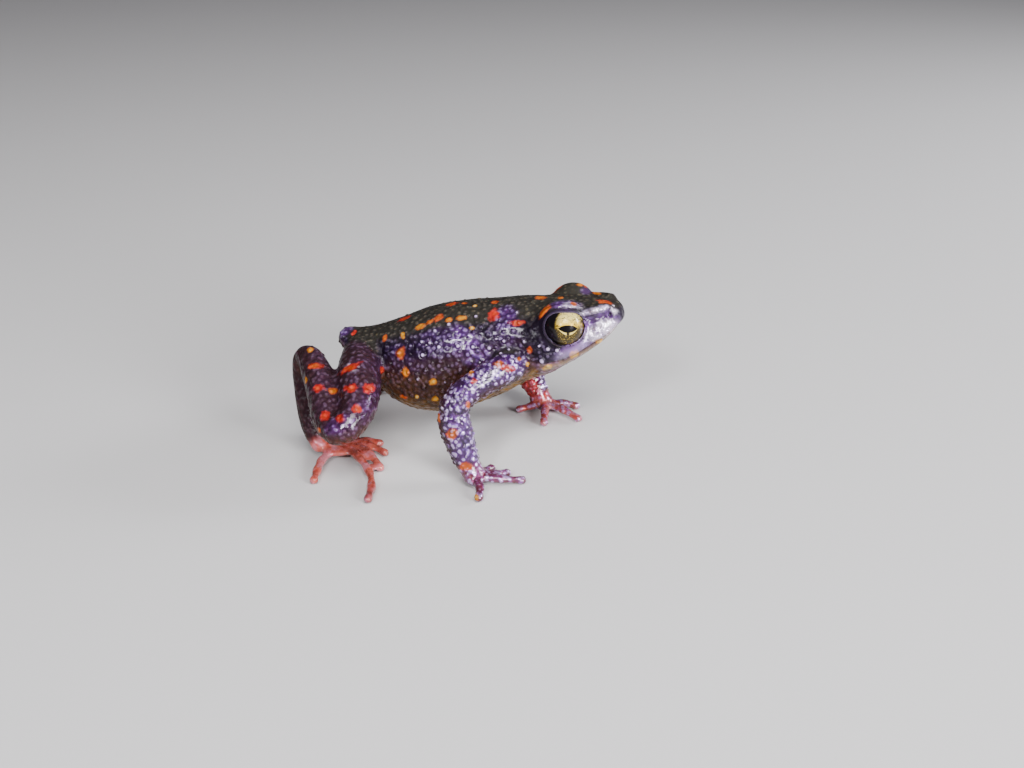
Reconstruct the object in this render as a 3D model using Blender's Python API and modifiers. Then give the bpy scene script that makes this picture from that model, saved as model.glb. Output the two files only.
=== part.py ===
"""A bleeding toad, life size, as a still museum model: it stands high on its forelegs, hind legs folded.

The toad looks along +X and its left side is +Y. The whole body is lofted from ovals, fused into one skin,
thinned, and then parted with cuts of 0.3 mm into the parts that a person would name.
All sizes are millimetres; each finished node is shrunk to metres when it is named.
"""

import math

import bmesh
import bpy
from mathutils import Matrix, Vector
from mathutils.bvhtree import BVHTree

MM = 0.001

# Driving sizes of an adult
SNOUT_VENT = 30.4
CUT_GAP = 0.3
EYE_RADIUS = SNOUT_VENT * 0.068
LID_THICKNESS = 0.5
DIGIT_RADIUS = SNOUT_VENT * 0.0165

# A digit's radius at its root, its knuckles and tip, and between them, as shares of the one above
DIGIT_ROOT = 1.45
DIGIT_KNUCKLE = 1.1
DIGIT_WAIST = 0.84
DIGIT_FLATNESS = 0.9

# How the whole trunk leans away from the raised near side
LEAN_DEGREES = -7.0
LEAN_PIVOT = Vector((0, 0, 10.4))

# How the head is held on the leaned trunk: nearly level, looking a little up and to the near side
HEAD_ROLL = 4.0
HEAD_PITCH = -5.0
HEAD_YAW = -4.0
HEAD_PIVOT = Vector((5.2, 0, 13.0))
HEAD_SHIFT = Vector((0.3, 0, -0.3))

# Fineness of the fused skin
VOXEL = 0.2
SMOOTHING_PASSES = 5
FUSED_TRIANGLES = 11600
OVAL_SIDES = 24
STEPS_BETWEEN_STATIONS = 5

# Trunk: along, top, widest level, bottom, half width, squareness
TRUNK = (
    (-15.5, 11.7, 11.1, 10.5, 0.9, 2.0),
    (-14.9, 12.2, 11.1, 10.0, 1.6, 2.0),
    (-13.4, 12.2, 10.6, 8.7, 2.5, 2.1),
    (-11.4, 12.6, 9.8, 6.7, 3.6, 2.2),
    (-9.0, 13.5, 9.3, 4.9, 4.7, 2.3),
    (-6.5, 14.6, 9.2, 4.0, 5.4, 2.3),
    (-4.0, 15.4, 9.4, 3.9, 5.7, 2.3),
    (-1.5, 15.9, 10.0, 4.5, 5.5, 2.3),
    (1.0, 16.2, 10.8, 5.5, 5.1, 2.3),
    (3.5, 16.6, 11.7, 6.8, 4.8, 2.3),
    (5.8, 16.8, 12.5, 8.3, 4.6, 2.3),
    (7.6, 16.6, 13.0, 9.6, 4.0, 2.2),
)

# Head: the same columns, nape to snout
HEAD = (
    (3.2, 16.2, 12.6, 8.6, 4.0, 2.2),
    (5.4, 16.8, 12.8, 8.6, 4.7, 2.3),
    (7.4, 17.0, 12.9, 9.3, 4.9, 2.4),
    (9.0, 17.0, 13.1, 10.3, 4.7, 2.5),
    (10.5, 16.9, 13.5, 11.1, 4.2, 2.5),
    (11.9, 16.8, 14.0, 12.0, 3.5, 2.5),
    (13.1, 16.7, 14.5, 12.9, 2.8, 2.5),
    (14.0, 16.6, 15.1, 13.8, 2.1, 2.4),
    (14.6, 16.3, 15.4, 14.6, 1.4, 2.2),
    (14.85, 15.9, 15.5, 15.1, 0.7, 2.0),
)

# Places on the head, before it is leaned and turned; each is mirrored to the other side
EYE_CENTRE = Vector((9.25, -3.15, 14.95))
EYE_OPENING_HALF = (2.15, 1.85)
EYE_LOOK = Vector((0.32, -0.90, 0.30)).normalized()
CANTHUS = ((10.6, -2.9, 16.2), (12.2, -2.25, 16.4), (13.5, -1.5, 16.35))
NOSTRIL = Vector((13.75, -1.75, 15.75))
NOSTRIL_RADIUS = 0.3

# The line of the mouth in side view, snout to corner, and the groove along it
MOUTH_LINE = ((15.2, 14.9), (14.2, 14.35), (12.8, 13.4), (11.0, 12.45), (9.2, 11.75), (7.6, 11.45))
MOUTH_CENTRE = 9.6
MOUTH_HALF_TURN = 112
MOUTH_STEPS = 34
MOUTH_RADIUS = 0.2

NECK_CUT = Vector((6.0, 0, 12.8))

# Limbs: joint places and the oval's two half widths there, from root to end
RIGHT_ARM = (
    ((4.9, -2.6, 11.4), 2.0, 2.1),
    ((3.3, -5.3, 10.9), 1.65, 1.75),
    ((1.6, -6.6, 10.3), 1.5, 1.55),
    ((0.0, -7.8, 9.5), 1.5, 1.5),
    ((-1.2, -8.6, 8.3), 1.55, 1.55),
    ((-1.3, -8.9, 6.8), 1.65, 1.65),
    ((-0.9, -9.1, 5.2), 1.6, 1.65),
    ((-0.3, -9.4, 3.5), 1.45, 1.45),
    ((0.4, -9.7, 1.9), 1.25, 1.2),
    ((1.2, -10.3, 0.85), 1.3, 0.8),
)
LEFT_ARM = (
    ((4.9, 2.6, 10.6), 2.0, 2.1),
    ((4.0, 5.3, 9.9), 1.65, 1.75),
    ((3.0, 7.2, 9.0), 1.5, 1.55),
    ((2.1, 8.9, 8.0), 1.5, 1.5),
    ((1.8, 9.7, 7.0), 1.55, 1.55),
    ((2.4, 9.7, 5.8), 1.6, 1.6),
    ((3.3, 9.3, 4.6), 1.55, 1.55),
    ((4.4, 8.8, 3.1), 1.35, 1.4),
    ((5.2, 8.4, 1.8), 1.2, 1.15),
    ((5.9, 8.1, 0.85), 1.25, 0.8),
)
RIGHT_LEG = (
    ((-12.6, -1.0, 10.3), 1.8, 1.8),
    ((-12.4, -3.2, 10.4), 2.0, 2.0),
    ((-11.8, -6.0, 9.9), 2.25, 2.25),
    ((-11.2, -8.4, 9.2), 2.25, 2.3),
    ((-10.7, -10.6, 8.4), 1.95, 2.0),
    ((-10.9, -12.4, 7.5), 1.6, 1.7),
    ((-12.0, -13.4, 6.7), 1.5, 1.5),
    ((-13.5, -12.0, 6.9), 1.5, 1.5),
    ((-14.4, -10.0, 7.9), 1.65, 1.7),
    ((-15.2, -8.1, 8.8), 1.75, 1.8),
    ((-16.3, -6.3, 9.7), 1.6, 1.65),
    ((-17.3, -4.9, 10.4), 1.4, 1.45),
    ((-18.2, -4.2, 10.3), 1.2, 1.25),
    ((-18.6, -4.3, 9.0), 1.0, 1.05),
    ((-18.3, -5.1, 6.2), 0.95, 0.95),
    ((-17.6, -5.9, 3.2), 0.95, 0.95),
    ((-16.4, -6.6, 1.3), 1.05, 0.85),
)
LEFT_LEG = (
    ((-12.6, 1.0, 9.7), 1.8, 1.8),
    ((-12.2, 3.3, 9.2), 2.0, 2.0),
    ((-10.8, 6.2, 8.4), 2.25, 2.25),
    ((-9.4, 8.8, 7.5), 2.2, 2.25),
    ((-8.3, 11.0, 6.6), 1.95, 1.95),
    ((-7.6, 12.9, 5.8), 1.6, 1.65),
    ((-8.3, 13.9, 5.2), 1.5, 1.5),
    ((-10.2, 13.0, 4.9), 1.5, 1.5),
    ((-12.0, 11.8, 4.5), 1.7, 1.7),
    ((-13.8, 10.6, 4.0), 1.7, 1.7),
    ((-15.4, 9.5, 3.4), 1.4, 1.45),
    ((-16.3, 8.8, 2.6), 1.2, 1.2),
    ((-16.3, 8.9, 1.6), 1.1, 1.05),
    ((-15.1, 9.5, 1.1), 1.0, 0.95),
    ((-12.6, 10.6, 0.95), 0.95, 0.8),
    ((-10.0, 11.5, 0.9), 0.95, 0.75),
    ((-8.4, 12.0, 0.85), 1.1, 0.75),
)

# Digits: the points that each passes through, from inside the palm or sole to the tip
RIGHT_FINGERS = (
    ((1.2, -10.0, 0.9), (1.6, -8.7, 0.75), (2.3, -7.2, 0.45)),
    ((1.3, -10.1, 0.9), (2.7, -9.2, 0.8), (4.1, -8.0, 0.45)),
    ((1.3, -10.3, 0.9), (3.4, -10.1, 0.85), (5.9, -9.3, 0.45)),
    ((1.2, -10.5, 0.9), (1.9, -12.0, 0.75), (2.1, -13.6, 0.45)),
)
LEFT_FINGERS = (
    ((5.8, 8.0, 0.9), (4.6, 7.5, 0.8), (3.0, 7.0, 0.45)),
    ((5.9, 7.9, 0.9), (6.1, 6.1, 0.8), (6.3, 4.0, 0.45)),
    ((6.1, 7.9, 0.9), (8.0, 6.9, 0.85), (10.0, 5.7, 0.45)),
    ((6.1, 8.2, 0.9), (7.9, 8.8, 0.75), (9.4, 8.9, 0.45)),
)
RIGHT_TOES = (
    ((-16.2, -5.9, 1.2), (-14.0, -4.6, 0.9), (-12.0, -3.8, 0.7), (-10.6, -3.6, 0.45)),
    ((-16.2, -6.0, 1.2), (-13.6, -5.0, 0.95), (-11.4, -4.9, 0.75), (-9.5, -5.7, 0.45)),
    ((-16.2, -6.2, 1.2), (-13.4, -5.6, 0.95), (-11.2, -6.5, 0.8), (-9.2, -9.0, 0.45)),
    (
        (-16.2, -6.4, 1.2),
        (-13.6, -6.0, 0.95),
        (-12.0, -7.6, 0.85),
        (-10.2, -10.1, 0.65),
        (-9.1, -13.0, 0.5),
        (-8.8, -15.6, 0.45),
    ),
    ((-16.3, -6.6, 1.2), (-15.3, -7.3, 0.9), (-15.6, -8.9, 0.7), (-15.5, -10.8, 0.55), (-15.3, -12.7, 0.45)),
)
LEFT_TOES = (
    ((-8.6, 11.7, 0.9), (-6.3, 11.0, 0.75), (-4.2, 10.3, 0.45)),
    ((-8.6, 11.9, 0.9), (-5.3, 11.9, 0.8), (-3.2, 11.8, 0.7), (-1.3, 11.5, 0.45)),
    ((-8.5, 12.1, 0.9), (-5.1, 12.9, 0.85), (-2.0, 13.5, 0.75), (0.8, 13.8, 0.45)),
    ((-8.6, 12.3, 0.9), (-5.5, 13.6, 0.85), (-2.2, 15.0, 0.75), (1.5, 16.2, 0.45)),
    ((-8.9, 12.5, 0.9), (-7.0, 14.2, 0.8), (-5.4, 15.5, 0.7), (-3.7, 16.6, 0.45)),
)
WEB_SHARE = 0.36
WEB_HALF_THICKNESS = 0.3

# Flat cuts that need a place of their own: the middle, the way each faces, its length's direction,
# half its length and half its width
PLACED_CUTS = (
    ("upper_arm_right", (2.6, -5.35, 10.6), (0.075, -0.997, 0), (1, 0, 0), 3.2, 2.7),
    ("upper_arm_left", (3.8, 5.2, 9.9), (0, 0.99, -0.1), (1, 0, 0), 3.3, 3.0),
    ("thigh_right", (-12.3, -3.55, 10.2), (-0.447, -0.894, 0), (1, 0, 0), 3.8, 3.3),
    ("thigh_left", (-11.5, 3.75, 9.2), (-0.452, 0.892, 0), (1, 0, 0), 4.2, 3.3),
    ("shank_right", (-13.2, -9.95, 8.15), (-0.961, -0.255, -0.109), (-0.277, 0.884, 0.377), 5.7, 2.7),
    ("shank_left", (-8.8, 12.5, 5.6), (-0.57, 0.44, -0.7), (-0.61, -0.785, 0.09), 3.4, 2.7),
    ("tarsus_left", (-15.3, 9.45, 2.15), (0, 0, -1), (-0.85, -0.52, 0), 3.0, 2.3),
)

# Limb cuts square to a joint: the length that starts there, its station, and how far in the cut reaches
RIGHT_ARM_JOINTS = (("forearm", 4.4, 2.4), ("hand", 8.0, 1.7))
LEFT_ARM_JOINTS = (("forearm", 4.4, 2.4), ("hand", 8.0, 1.2))
RIGHT_LEG_JOINTS = (("tarsus", 12.0, 5.0), ("foot", 15.6, 1.6))
LEFT_LEG_JOINTS = (("foot", 15.6, 1.6),)
ARM_LENGTHS = (("upper_arm", 2.8), ("forearm", 6.0), ("hand", 8.6))
LEG_LENGTHS = (("thigh", 3.0), ("shank", 9.0), ("tarsus", 14.0), ("foot", 16.0))


def clear_scene():
    for obj in list(bpy.data.objects):
        bpy.data.objects.remove(obj)


def make_collection(name):
    collection = bpy.data.collections.new(name)
    bpy.context.scene.collection.children.link(collection)
    return collection


def turn_about(axis, degrees):
    return Matrix.Rotation(math.radians(degrees), 3, axis)


def leaned_way(direction):
    return turn_about("X", LEAN_DEGREES) @ Vector(direction)


def leaned(point):
    """A place on the trunk, once the trunk has been leaned over."""
    return leaned_way(Vector(point) - LEAN_PIVOT) + LEAN_PIVOT


def headed_way(direction):
    turn = turn_about("Z", HEAD_YAW) @ turn_about("Y", HEAD_PITCH) @ turn_about("X", HEAD_ROLL)
    return turn @ leaned_way(direction)


def headed(point):
    """A place on the head, once the trunk has been leaned over and the head turned on it."""
    return headed_way(Vector(point) - HEAD_PIVOT) + leaned(HEAD_PIVOT) + HEAD_SHIFT


def unheaded(point):
    """The place that headed takes to this point."""
    turn = turn_about("X", -LEAN_DEGREES - HEAD_ROLL) @ turn_about("Y", -HEAD_PITCH)
    return turn @ turn_about("Z", -HEAD_YAW) @ (Vector(point) - leaned(HEAD_PIVOT) - HEAD_SHIFT) + HEAD_PIVOT


def mirrored(point):
    return Vector((point[0], -point[1], point[2]))


def between(values, place):
    """A smooth curve through a list of equal-length vectors, read at a station number such as 2.5."""
    last = len(values) - 1
    index = min(int(place), last - 1)
    t = place - index
    p0 = Vector(values[max(index - 1, 0)])
    p1 = Vector(values[index])
    p2 = Vector(values[index + 1])
    p3 = Vector(values[min(index + 2, last)])
    slope1 = (p2 - p0) / 2
    slope2 = (p3 - p1) / 2
    return (
        p1 * (2 * t**3 - 3 * t**2 + 1)
        + slope1 * (t**3 - 2 * t**2 + t)
        + p2 * (3 * t**2 - 2 * t**3)
        + slope2 * (t**3 - t**2)
    )


def places(count, steps=STEPS_BETWEEN_STATIONS):
    """Station numbers of every oval along a loft through this many stations."""
    return [i / steps for i in range((count - 1) * steps + 1)]


def object_from(name, mesh_builder, collection):
    mesh = bpy.data.meshes.new(name)
    bmesh.ops.recalc_face_normals(mesh_builder, faces=mesh_builder.faces)
    mesh_builder.to_mesh(mesh)
    mesh_builder.free()
    obj = bpy.data.objects.new(name, mesh)
    collection.objects.link(obj)
    return obj


def loft(name, ovals, collection, sides=OVAL_SIDES):
    """A closed skin over ovals, each given by its centre, side, up and down half axes, and squareness."""
    builder = bmesh.new()
    rings = []
    for centre, side, up, down, squareness in ovals:
        ring = []
        for i in range(sides):
            angle = 2 * math.pi * i / sides
            across, rise = math.cos(angle), math.sin(angle)
            power = 2 / squareness
            across = math.copysign(abs(across) ** power, across)
            height = up if rise > 0 else down
            rise = abs(rise) ** power
            ring.append(builder.verts.new(centre + side * across + height * rise))
        rings.append(ring)
    for first, second in zip(rings, rings[1:]):
        for i in range(sides):
            j = (i + 1) % sides
            builder.faces.new((first[i], first[j], second[j], second[i]))
    builder.faces.new(rings[0][::-1])
    builder.faces.new(rings[-1])
    return object_from(name, builder, collection)


def body_loft(name, stations, collection, set_place, set_way):
    """A loft along the body, whose ovals stand upright before set_place and set_way lean and turn them."""
    ovals = []
    for place in places(len(stations)):
        along, top, widest, bottom, half_width, squareness = between(stations, place)
        up = set_way((0, 0, top - widest))
        down = set_way((0, 0, bottom - widest))
        ovals.append((set_place((along, 0, widest)), set_way((0, half_width, 0)), up, down, squareness))
    return loft(name, ovals, collection)


def limb_loft(name, stations, collection, sides=OVAL_SIDES, steps=STEPS_BETWEEN_STATIONS):
    """A loft whose ovals stand square to the path through the stations, with rounded ends."""
    rows = [(*point, across, rise) for point, across, rise in stations]
    ovals = []
    samples = places(len(rows), steps)
    for place in samples:
        row = between(rows, place)
        centre = Vector(row[:3])
        ahead = Vector(between(rows, min(place + 0.1, samples[-1]))[:3])
        behind = Vector(between(rows, max(place - 0.1, 0))[:3])
        along = (ahead - behind).normalized()
        side = along.cross(Vector((0, 0, 1)))
        side = side.normalized() if side.length > 0.15 else Vector((0, 1, 0))
        up = side.cross(along).normalized()
        ovals.append((centre, along, side * row[3], up * row[4]))
    rounded = [*end_ovals(ovals[0], -1), *ovals, *end_ovals(ovals[-1], 1)]
    return loft(name, [(c, s, u, -u, 2.0) for c, _, s, u in rounded], collection, sides)


def end_ovals(oval, direction):
    """Two shrinking ovals that round off the end of a limb or digit."""
    centre, along, side, up = oval
    reach = min(side.length, up.length)
    ends = []
    for angle in (35, 68):
        out = centre + along * direction * reach * math.sin(math.radians(angle))
        shrink = math.cos(math.radians(angle))
        ends.append((out, along, side * shrink, up * shrink))
    return ends[::-1] if direction < 0 else ends


def ball(name, centre, radius, collection, scale=(1, 1, 1), turn=None):
    builder = bmesh.new()
    bmesh.ops.create_uvsphere(builder, u_segments=20, v_segments=12, radius=radius)
    turned = turn.to_matrix().to_4x4() if turn else Matrix.Identity(4)
    matrix = Matrix.Translation(centre) @ turned @ Matrix.Diagonal((*scale, 1))
    bmesh.ops.transform(builder, matrix=matrix, verts=builder.verts)
    return object_from(name, builder, collection)


def digit(name, points, collection):
    """A finger or toe: a stout root, knuckles with slimmer lengths between them, and a swollen tip."""
    last = 2 * (len(points) - 1)
    stations = []
    for i in range(last + 1):
        share = DIGIT_ROOT if i == 0 else DIGIT_WAIST if i % 2 else DIGIT_KNUCKLE
        radius = DIGIT_RADIUS * share
        stations.append((between(points, i / 2), radius, radius * DIGIT_FLATNESS))
    limb_loft(name, stations, collection)


def web(name, first, second, collection):
    """Thin skin between the lower halves of two digits."""
    ovals = []
    rows = 8
    for i in range(rows + 1):
        share = WEB_SHARE * i / rows
        a = between(first, share * (len(first) - 1))
        b = between(second, share * (len(second) - 1))
        half = (b - a) / 2
        up = Vector((0, 0, WEB_HALF_THICKNESS))
        ovals.append(((a + b) / 2, half, up, -up, 2.0))
    loft(name, ovals, collection)


def add_digits(side, kind, digits, collection):
    for number, points in enumerate(digits, 1):
        digit(f"{kind}_{number}_{side}", points, collection)
    for number, (first, second) in enumerate(zip(digits, digits[1:]), 1):
        if kind == "toe":
            web(f"web_{number}_{side}", first, second, collection)


def add_head_forms(collection):
    """Lids over the eyes and the ridge from eye to nostril, on both sides."""
    for side, place in (("right", Vector), ("left", mirrored)):
        lid_radius = EYE_RADIUS + CUT_GAP + LID_THICKNESS
        ball(f"lids_{side}", headed(place(EYE_CENTRE)), lid_radius, collection, (1, 0.86, 0.96))
        limb_loft(f"canthus_{side}", [(headed(place(point)), 0.6, 0.6) for point in CANTHUS], collection)


def evaluated_mesh(obj):
    graph = bpy.context.evaluated_depsgraph_get()
    return bpy.data.meshes.new_from_object(obj.evaluated_get(graph))


def apply_modifiers(obj):
    old = obj.data
    obj.data = evaluated_mesh(obj)
    obj.modifiers.clear()
    bpy.data.meshes.remove(old)


def fuse(name, pieces, collection):
    """All the lofts as one even skin, smoothed where they meet, then thinned where it is plain."""
    builder = bmesh.new()
    for piece in list(pieces.objects):
        builder.from_mesh(piece.data)
        bpy.data.objects.remove(piece)
    whole = object_from(name, builder, collection)
    remesh = whole.modifiers.new("one skin", "REMESH")
    remesh.mode = "VOXEL"
    remesh.voxel_size = VOXEL
    smooth = whole.modifiers.new("soften the joins", "SMOOTH")
    smooth.iterations = SMOOTHING_PASSES
    apply_modifiers(whole)
    keep_largest(whole)
    thin = whole.modifiers.new("thin out", "DECIMATE")
    thin.ratio = FUSED_TRIANGLES / sum(len(face.vertices) - 2 for face in whole.data.polygons)
    thin.use_collapse_triangulate = True
    apply_modifiers(whole)
    return whole


def shells(builder):
    """The closed surfaces of a mesh, as lists of vertices."""
    left = set(builder.verts)
    found = []
    while left:
        queue = [left.pop()]
        shell = []
        while queue:
            vert = queue.pop()
            shell.append(vert)
            for edge in vert.link_edges:
                other = edge.other_vert(vert)
                if other in left:
                    left.remove(other)
                    queue.append(other)
        found.append(shell)
    return found


def keep_largest(obj):
    builder = bmesh.new()
    builder.from_mesh(obj.data)
    surfaces = sorted(shells(builder), key=len)
    for scrap in surfaces[:-1]:
        bmesh.ops.delete(builder, geom=scrap, context="VERTS")
    builder.to_mesh(obj.data)
    builder.free()


def slab(name, centre, normal, inwards, reach_in, reach_out, half_width, collection):
    """A plate as thick as the cut, from reach_out beyond its centre to reach_in on the inner side."""
    normal = normal.normalized()
    inwards = (inwards - normal * inwards.dot(normal)).normalized()
    across = normal.cross(inwards)
    builder = bmesh.new()
    bmesh.ops.create_cube(builder, size=1)
    middle = centre + inwards * (reach_in - reach_out) / 2
    turn = Matrix((normal, inwards, across)).transposed().to_4x4()
    size = Matrix.Diagonal((CUT_GAP, reach_in + reach_out, 2 * half_width, 1))
    bmesh.ops.transform(builder, matrix=Matrix.Translation(middle) @ turn @ size, verts=builder.verts)
    return object_from(name, builder, collection)


def limb_cuts(side, stations, joints, collection):
    """One plate at each joint, halfway between the directions of the two lengths that meet there."""
    points = [point for point, _, _ in stations]
    for name, place, reach_in in joints:
        centre = between(points, place)
        before = centre - between(points, max(place - 1.2, 0))
        after = between(points, min(place + 1.2, len(points) - 1)) - centre
        normal = before.normalized() + after.normalized()
        inwards = after.normalized() - before.normalized()
        if inwards.length < 0.2:
            inwards = normal.cross(Vector((0, 0, 1)))
        radius = max(stations[round(place)][1:])
        slab(f"cut_{name}_{side}", centre, normal, inwards, reach_in, radius * 1.45, radius * 1.4, collection)


def placed_cuts(collection):
    for name, centre, normal, along, half_length, half_width in PLACED_CUTS:
        ends = (half_length, half_length)
        slab(f"cut_{name}", Vector(centre), Vector(normal), Vector(along), *ends, half_width, collection)


def mouth_height(along):
    """Height of the line of the mouth at a place along the head, before the head is leaned and turned."""
    for (x1, z1), (x2, z2) in zip(MOUTH_LINE, MOUTH_LINE[1:]):
        if x2 <= along <= x1:
            return z1 + (z2 - z1) * (x1 - along) / (x1 - x2)
    return MOUTH_LINE[0 if along > MOUTH_LINE[0][0] else -1][1]


def mouth_cut(surface, collection):
    """A groove along the line of the mouth, from one corner of it round the snout to the other."""
    points = []
    for i in range(MOUTH_STEPS + 1):
        angle = math.radians(MOUTH_HALF_TURN * (2 * i / MOUTH_STEPS - 1))
        outwards = Vector((math.cos(angle), math.sin(angle), 0))
        height = mouth_height(12)
        for _ in range(6):
            start = headed(Vector((MOUTH_CENTRE, 0, height)) + outwards * 20)
            hit = surface.ray_cast(start, -headed_way(outwards))[0]
            if hit is None:
                break
            height = mouth_height(unheaded(hit).x)
        if hit is not None:
            points.append(hit)
    limb_loft("cut_mouth", [(point, MOUTH_RADIUS, MOUTH_RADIUS) for point in points], collection, 6, 1)


def head_cuts(whole, collection):
    """The mouth, the eye sockets with their openings between the lids, and the nostrils."""
    surface = BVHTree.FromObject(whole, bpy.context.evaluated_depsgraph_get())
    mouth_cut(surface, collection)
    for side, place in (("right", Vector), ("left", mirrored)):
        eye = headed(place(EYE_CENTRE))
        look = headed_way(place(EYE_LOOK))
        ball(f"cut_socket_{side}", eye, EYE_RADIUS + CUT_GAP, collection)
        half_long, half_high = EYE_OPENING_HALF
        turn = look.to_track_quat("Z", "Y")
        depth = 1.9
        ball(f"cut_opening_{side}", eye + look * 2.4, 1, collection, (half_long, half_high, depth), turn)
        nostril, outwards, _, _ = surface.find_nearest(headed(place(NOSTRIL)))
        ball(f"cut_nostril_{side}", nostril + outwards * 0.05, NOSTRIL_RADIUS, collection)


def floor_cut(collection):
    """Everything under the floor goes, which leaves small flats under the fingers and toes."""
    builder = bmesh.new()
    bmesh.ops.create_cube(builder, size=80)
    bmesh.ops.translate(builder, verts=builder.verts, vec=(0, 0, -40))
    return object_from("cut_floor", builder, collection)


def part_by(whole, cutters):
    cut = whole.modifiers.new("part the toad", "BOOLEAN")
    cut.operation = "DIFFERENCE"
    cut.operand_type = "COLLECTION"
    cut.collection = cutters
    cut.solver = "EXACT"
    apply_modifiers(whole)
    for cutter in list(cutters.objects):
        bpy.data.objects.remove(cutter)


def named_places():
    """A point inside each part, by which the pieces of the cut toad are told apart."""
    found = {
        "torso": leaned((-3, 0, 10)),
        "head": headed((9.5, 0, 14.0)),
    }
    limbs = (
        ("right", RIGHT_ARM, ARM_LENGTHS),
        ("left", LEFT_ARM, ARM_LENGTHS),
        ("right", RIGHT_LEG, LEG_LENGTHS),
        ("left", LEFT_LEG, LEG_LENGTHS),
    )
    for side, stations, lengths in limbs:
        points = [point for point, _, _ in stations]
        for name, place in lengths:
            found[f"{name}_{side}"] = between(points, place)
    return found


def holds(surface, point):
    """Whether a point is inside a closed surface: a line up from it then meets it an odd number of times."""
    crossings = 0
    start = Vector(point)
    while True:
        hit = surface.ray_cast(start, Vector((0, 0, 1)))[0]
        if hit is None:
            return crossings % 2 == 1
        crossings += 1
        start = hit + Vector((0, 0, 1e-4))


def named_pieces(whole, collection):
    """Each closed piece of the cut toad as its own object, named by the place inside it."""
    builder = bmesh.new()
    builder.from_mesh(whole.data)
    bmesh.ops.triangulate(builder, faces=builder.faces)
    pieces = []
    for shell in shells(builder):
        piece = bmesh.new()
        copies = {vert: piece.verts.new(vert.co) for vert in shell}
        faces = {face for vert in shell for face in vert.link_faces}
        for face in faces:
            piece.faces.new([copies[vert] for vert in face.verts])
        piece.normal_update()
        pieces.append((len(shell), BVHTree.FromBMesh(piece), piece))
    builder.free()
    bpy.data.objects.remove(whole)
    pieces.sort(key=lambda item: -item[0])
    made = {}
    for name, point in named_places().items():
        found = [item for item in pieces if holds(item[1], point)]
        if not found:
            raise ValueError(f"no piece of its own for {name}")
        best = found[0]
        pieces.remove(best)
        made[name] = object_from(name, best[2], collection)
    for _, _, scrap in pieces:
        scrap.free()
    return made


def skin_material(name, colour):
    """Wet, glossy skin in one plain colour."""
    material = bpy.data.materials.new(name)
    material.use_nodes = True
    shader = material.node_tree.nodes["Principled BSDF"]
    shader.inputs["Base Color"].default_value = (*colour, 1)
    shader.inputs["Roughness"].default_value = 0.35
    return material


def finish(nodes):
    """Stands the toad with its box's bottom centre at the origin, in metres, and adds the materials."""
    materials = {
        "skin": skin_material("dark_skin", (0.045, 0.03, 0.04)),
        "digits": skin_material("red_digits", (0.45, 0.12, 0.09)),
        "eye": skin_material("gold_eye", (0.55, 0.42, 0.14)),
    }
    corners = [vert.co for obj in nodes.values() for vert in obj.data.vertices]
    low = Vector([min(co[axis] for co in corners) for axis in range(3)])
    high = Vector([max(co[axis] for co in corners) for axis in range(3)])
    foot = Vector(((low.x + high.x) / 2, (low.y + high.y) / 2, low.z))
    to_metres = Matrix.Scale(MM, 4) @ Matrix.Translation(-foot)
    for name, obj in nodes.items():
        obj.data.transform(to_metres)
        kind = "eye" if name.startswith("eye") else "digits" if name.startswith(("hand", "foot")) else "skin"
        obj.data.materials.clear()
        obj.data.materials.append(materials[kind])
        obj.data.shade_smooth()
        obj.data.set_sharp_from_angle(angle=math.radians(40))


def main():
    clear_scene()
    toad = make_collection("bleeding_toad")
    lofts = make_collection("lofts")
    cutters = make_collection("cutters")
    body_loft("trunk", TRUNK, lofts, leaned, leaned_way)
    body_loft("head_loft", HEAD, lofts, headed, headed_way)
    add_head_forms(lofts)
    limbs = (
        ("right", RIGHT_ARM, RIGHT_FINGERS, RIGHT_LEG, RIGHT_TOES, RIGHT_ARM_JOINTS, RIGHT_LEG_JOINTS),
        ("left", LEFT_ARM, LEFT_FINGERS, LEFT_LEG, LEFT_TOES, LEFT_ARM_JOINTS, LEFT_LEG_JOINTS),
    )
    for side, arm, fingers, leg, toes, arm_joints, leg_joints in limbs:
        limb_loft(f"arm_{side}", arm, lofts)
        limb_loft(f"leg_{side}", leg, lofts)
        add_digits(side, "finger", fingers, lofts)
        add_digits(side, "toe", toes, lofts)
        limb_cuts(side, arm, arm_joints, cutters)
        limb_cuts(side, leg, leg_joints, cutters)
    whole = fuse("whole", lofts, toad)
    slab("cut_neck", leaned(NECK_CUT), Vector((1, 0, 0.25)), leaned_way((0, 0, -1)), 8, 8, 8, cutters)
    placed_cuts(cutters)
    head_cuts(whole, cutters)
    floor_cut(cutters)
    part_by(whole, cutters)
    nodes = named_pieces(whole, toad)
    for side, place in (("right", Vector), ("left", mirrored)):
        nodes[f"eye_{side}"] = ball(f"eye_{side}", headed(place(EYE_CENTRE)), EYE_RADIUS, toad)
    finish(nodes)


if __name__ == "__main__":
    main()
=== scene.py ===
"""A bleeding toad, life size, as a still museum model: its wet, warty skin, its eyes and a plain studio.

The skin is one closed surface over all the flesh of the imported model. It is made in millimetres, in the
toad's own frame: +X is ahead, +Y is its left, and the floor is at zero.
"""

import math
from itertools import product
from types import SimpleNamespace

import bpy
import numpy as np
from bpy.props import FloatProperty, FloatVectorProperty, IntProperty, PointerProperty
from mathutils import Matrix, Vector, noise
from mathutils.bvhtree import BVHTree
from mathutils.kdtree import KDTree


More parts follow.
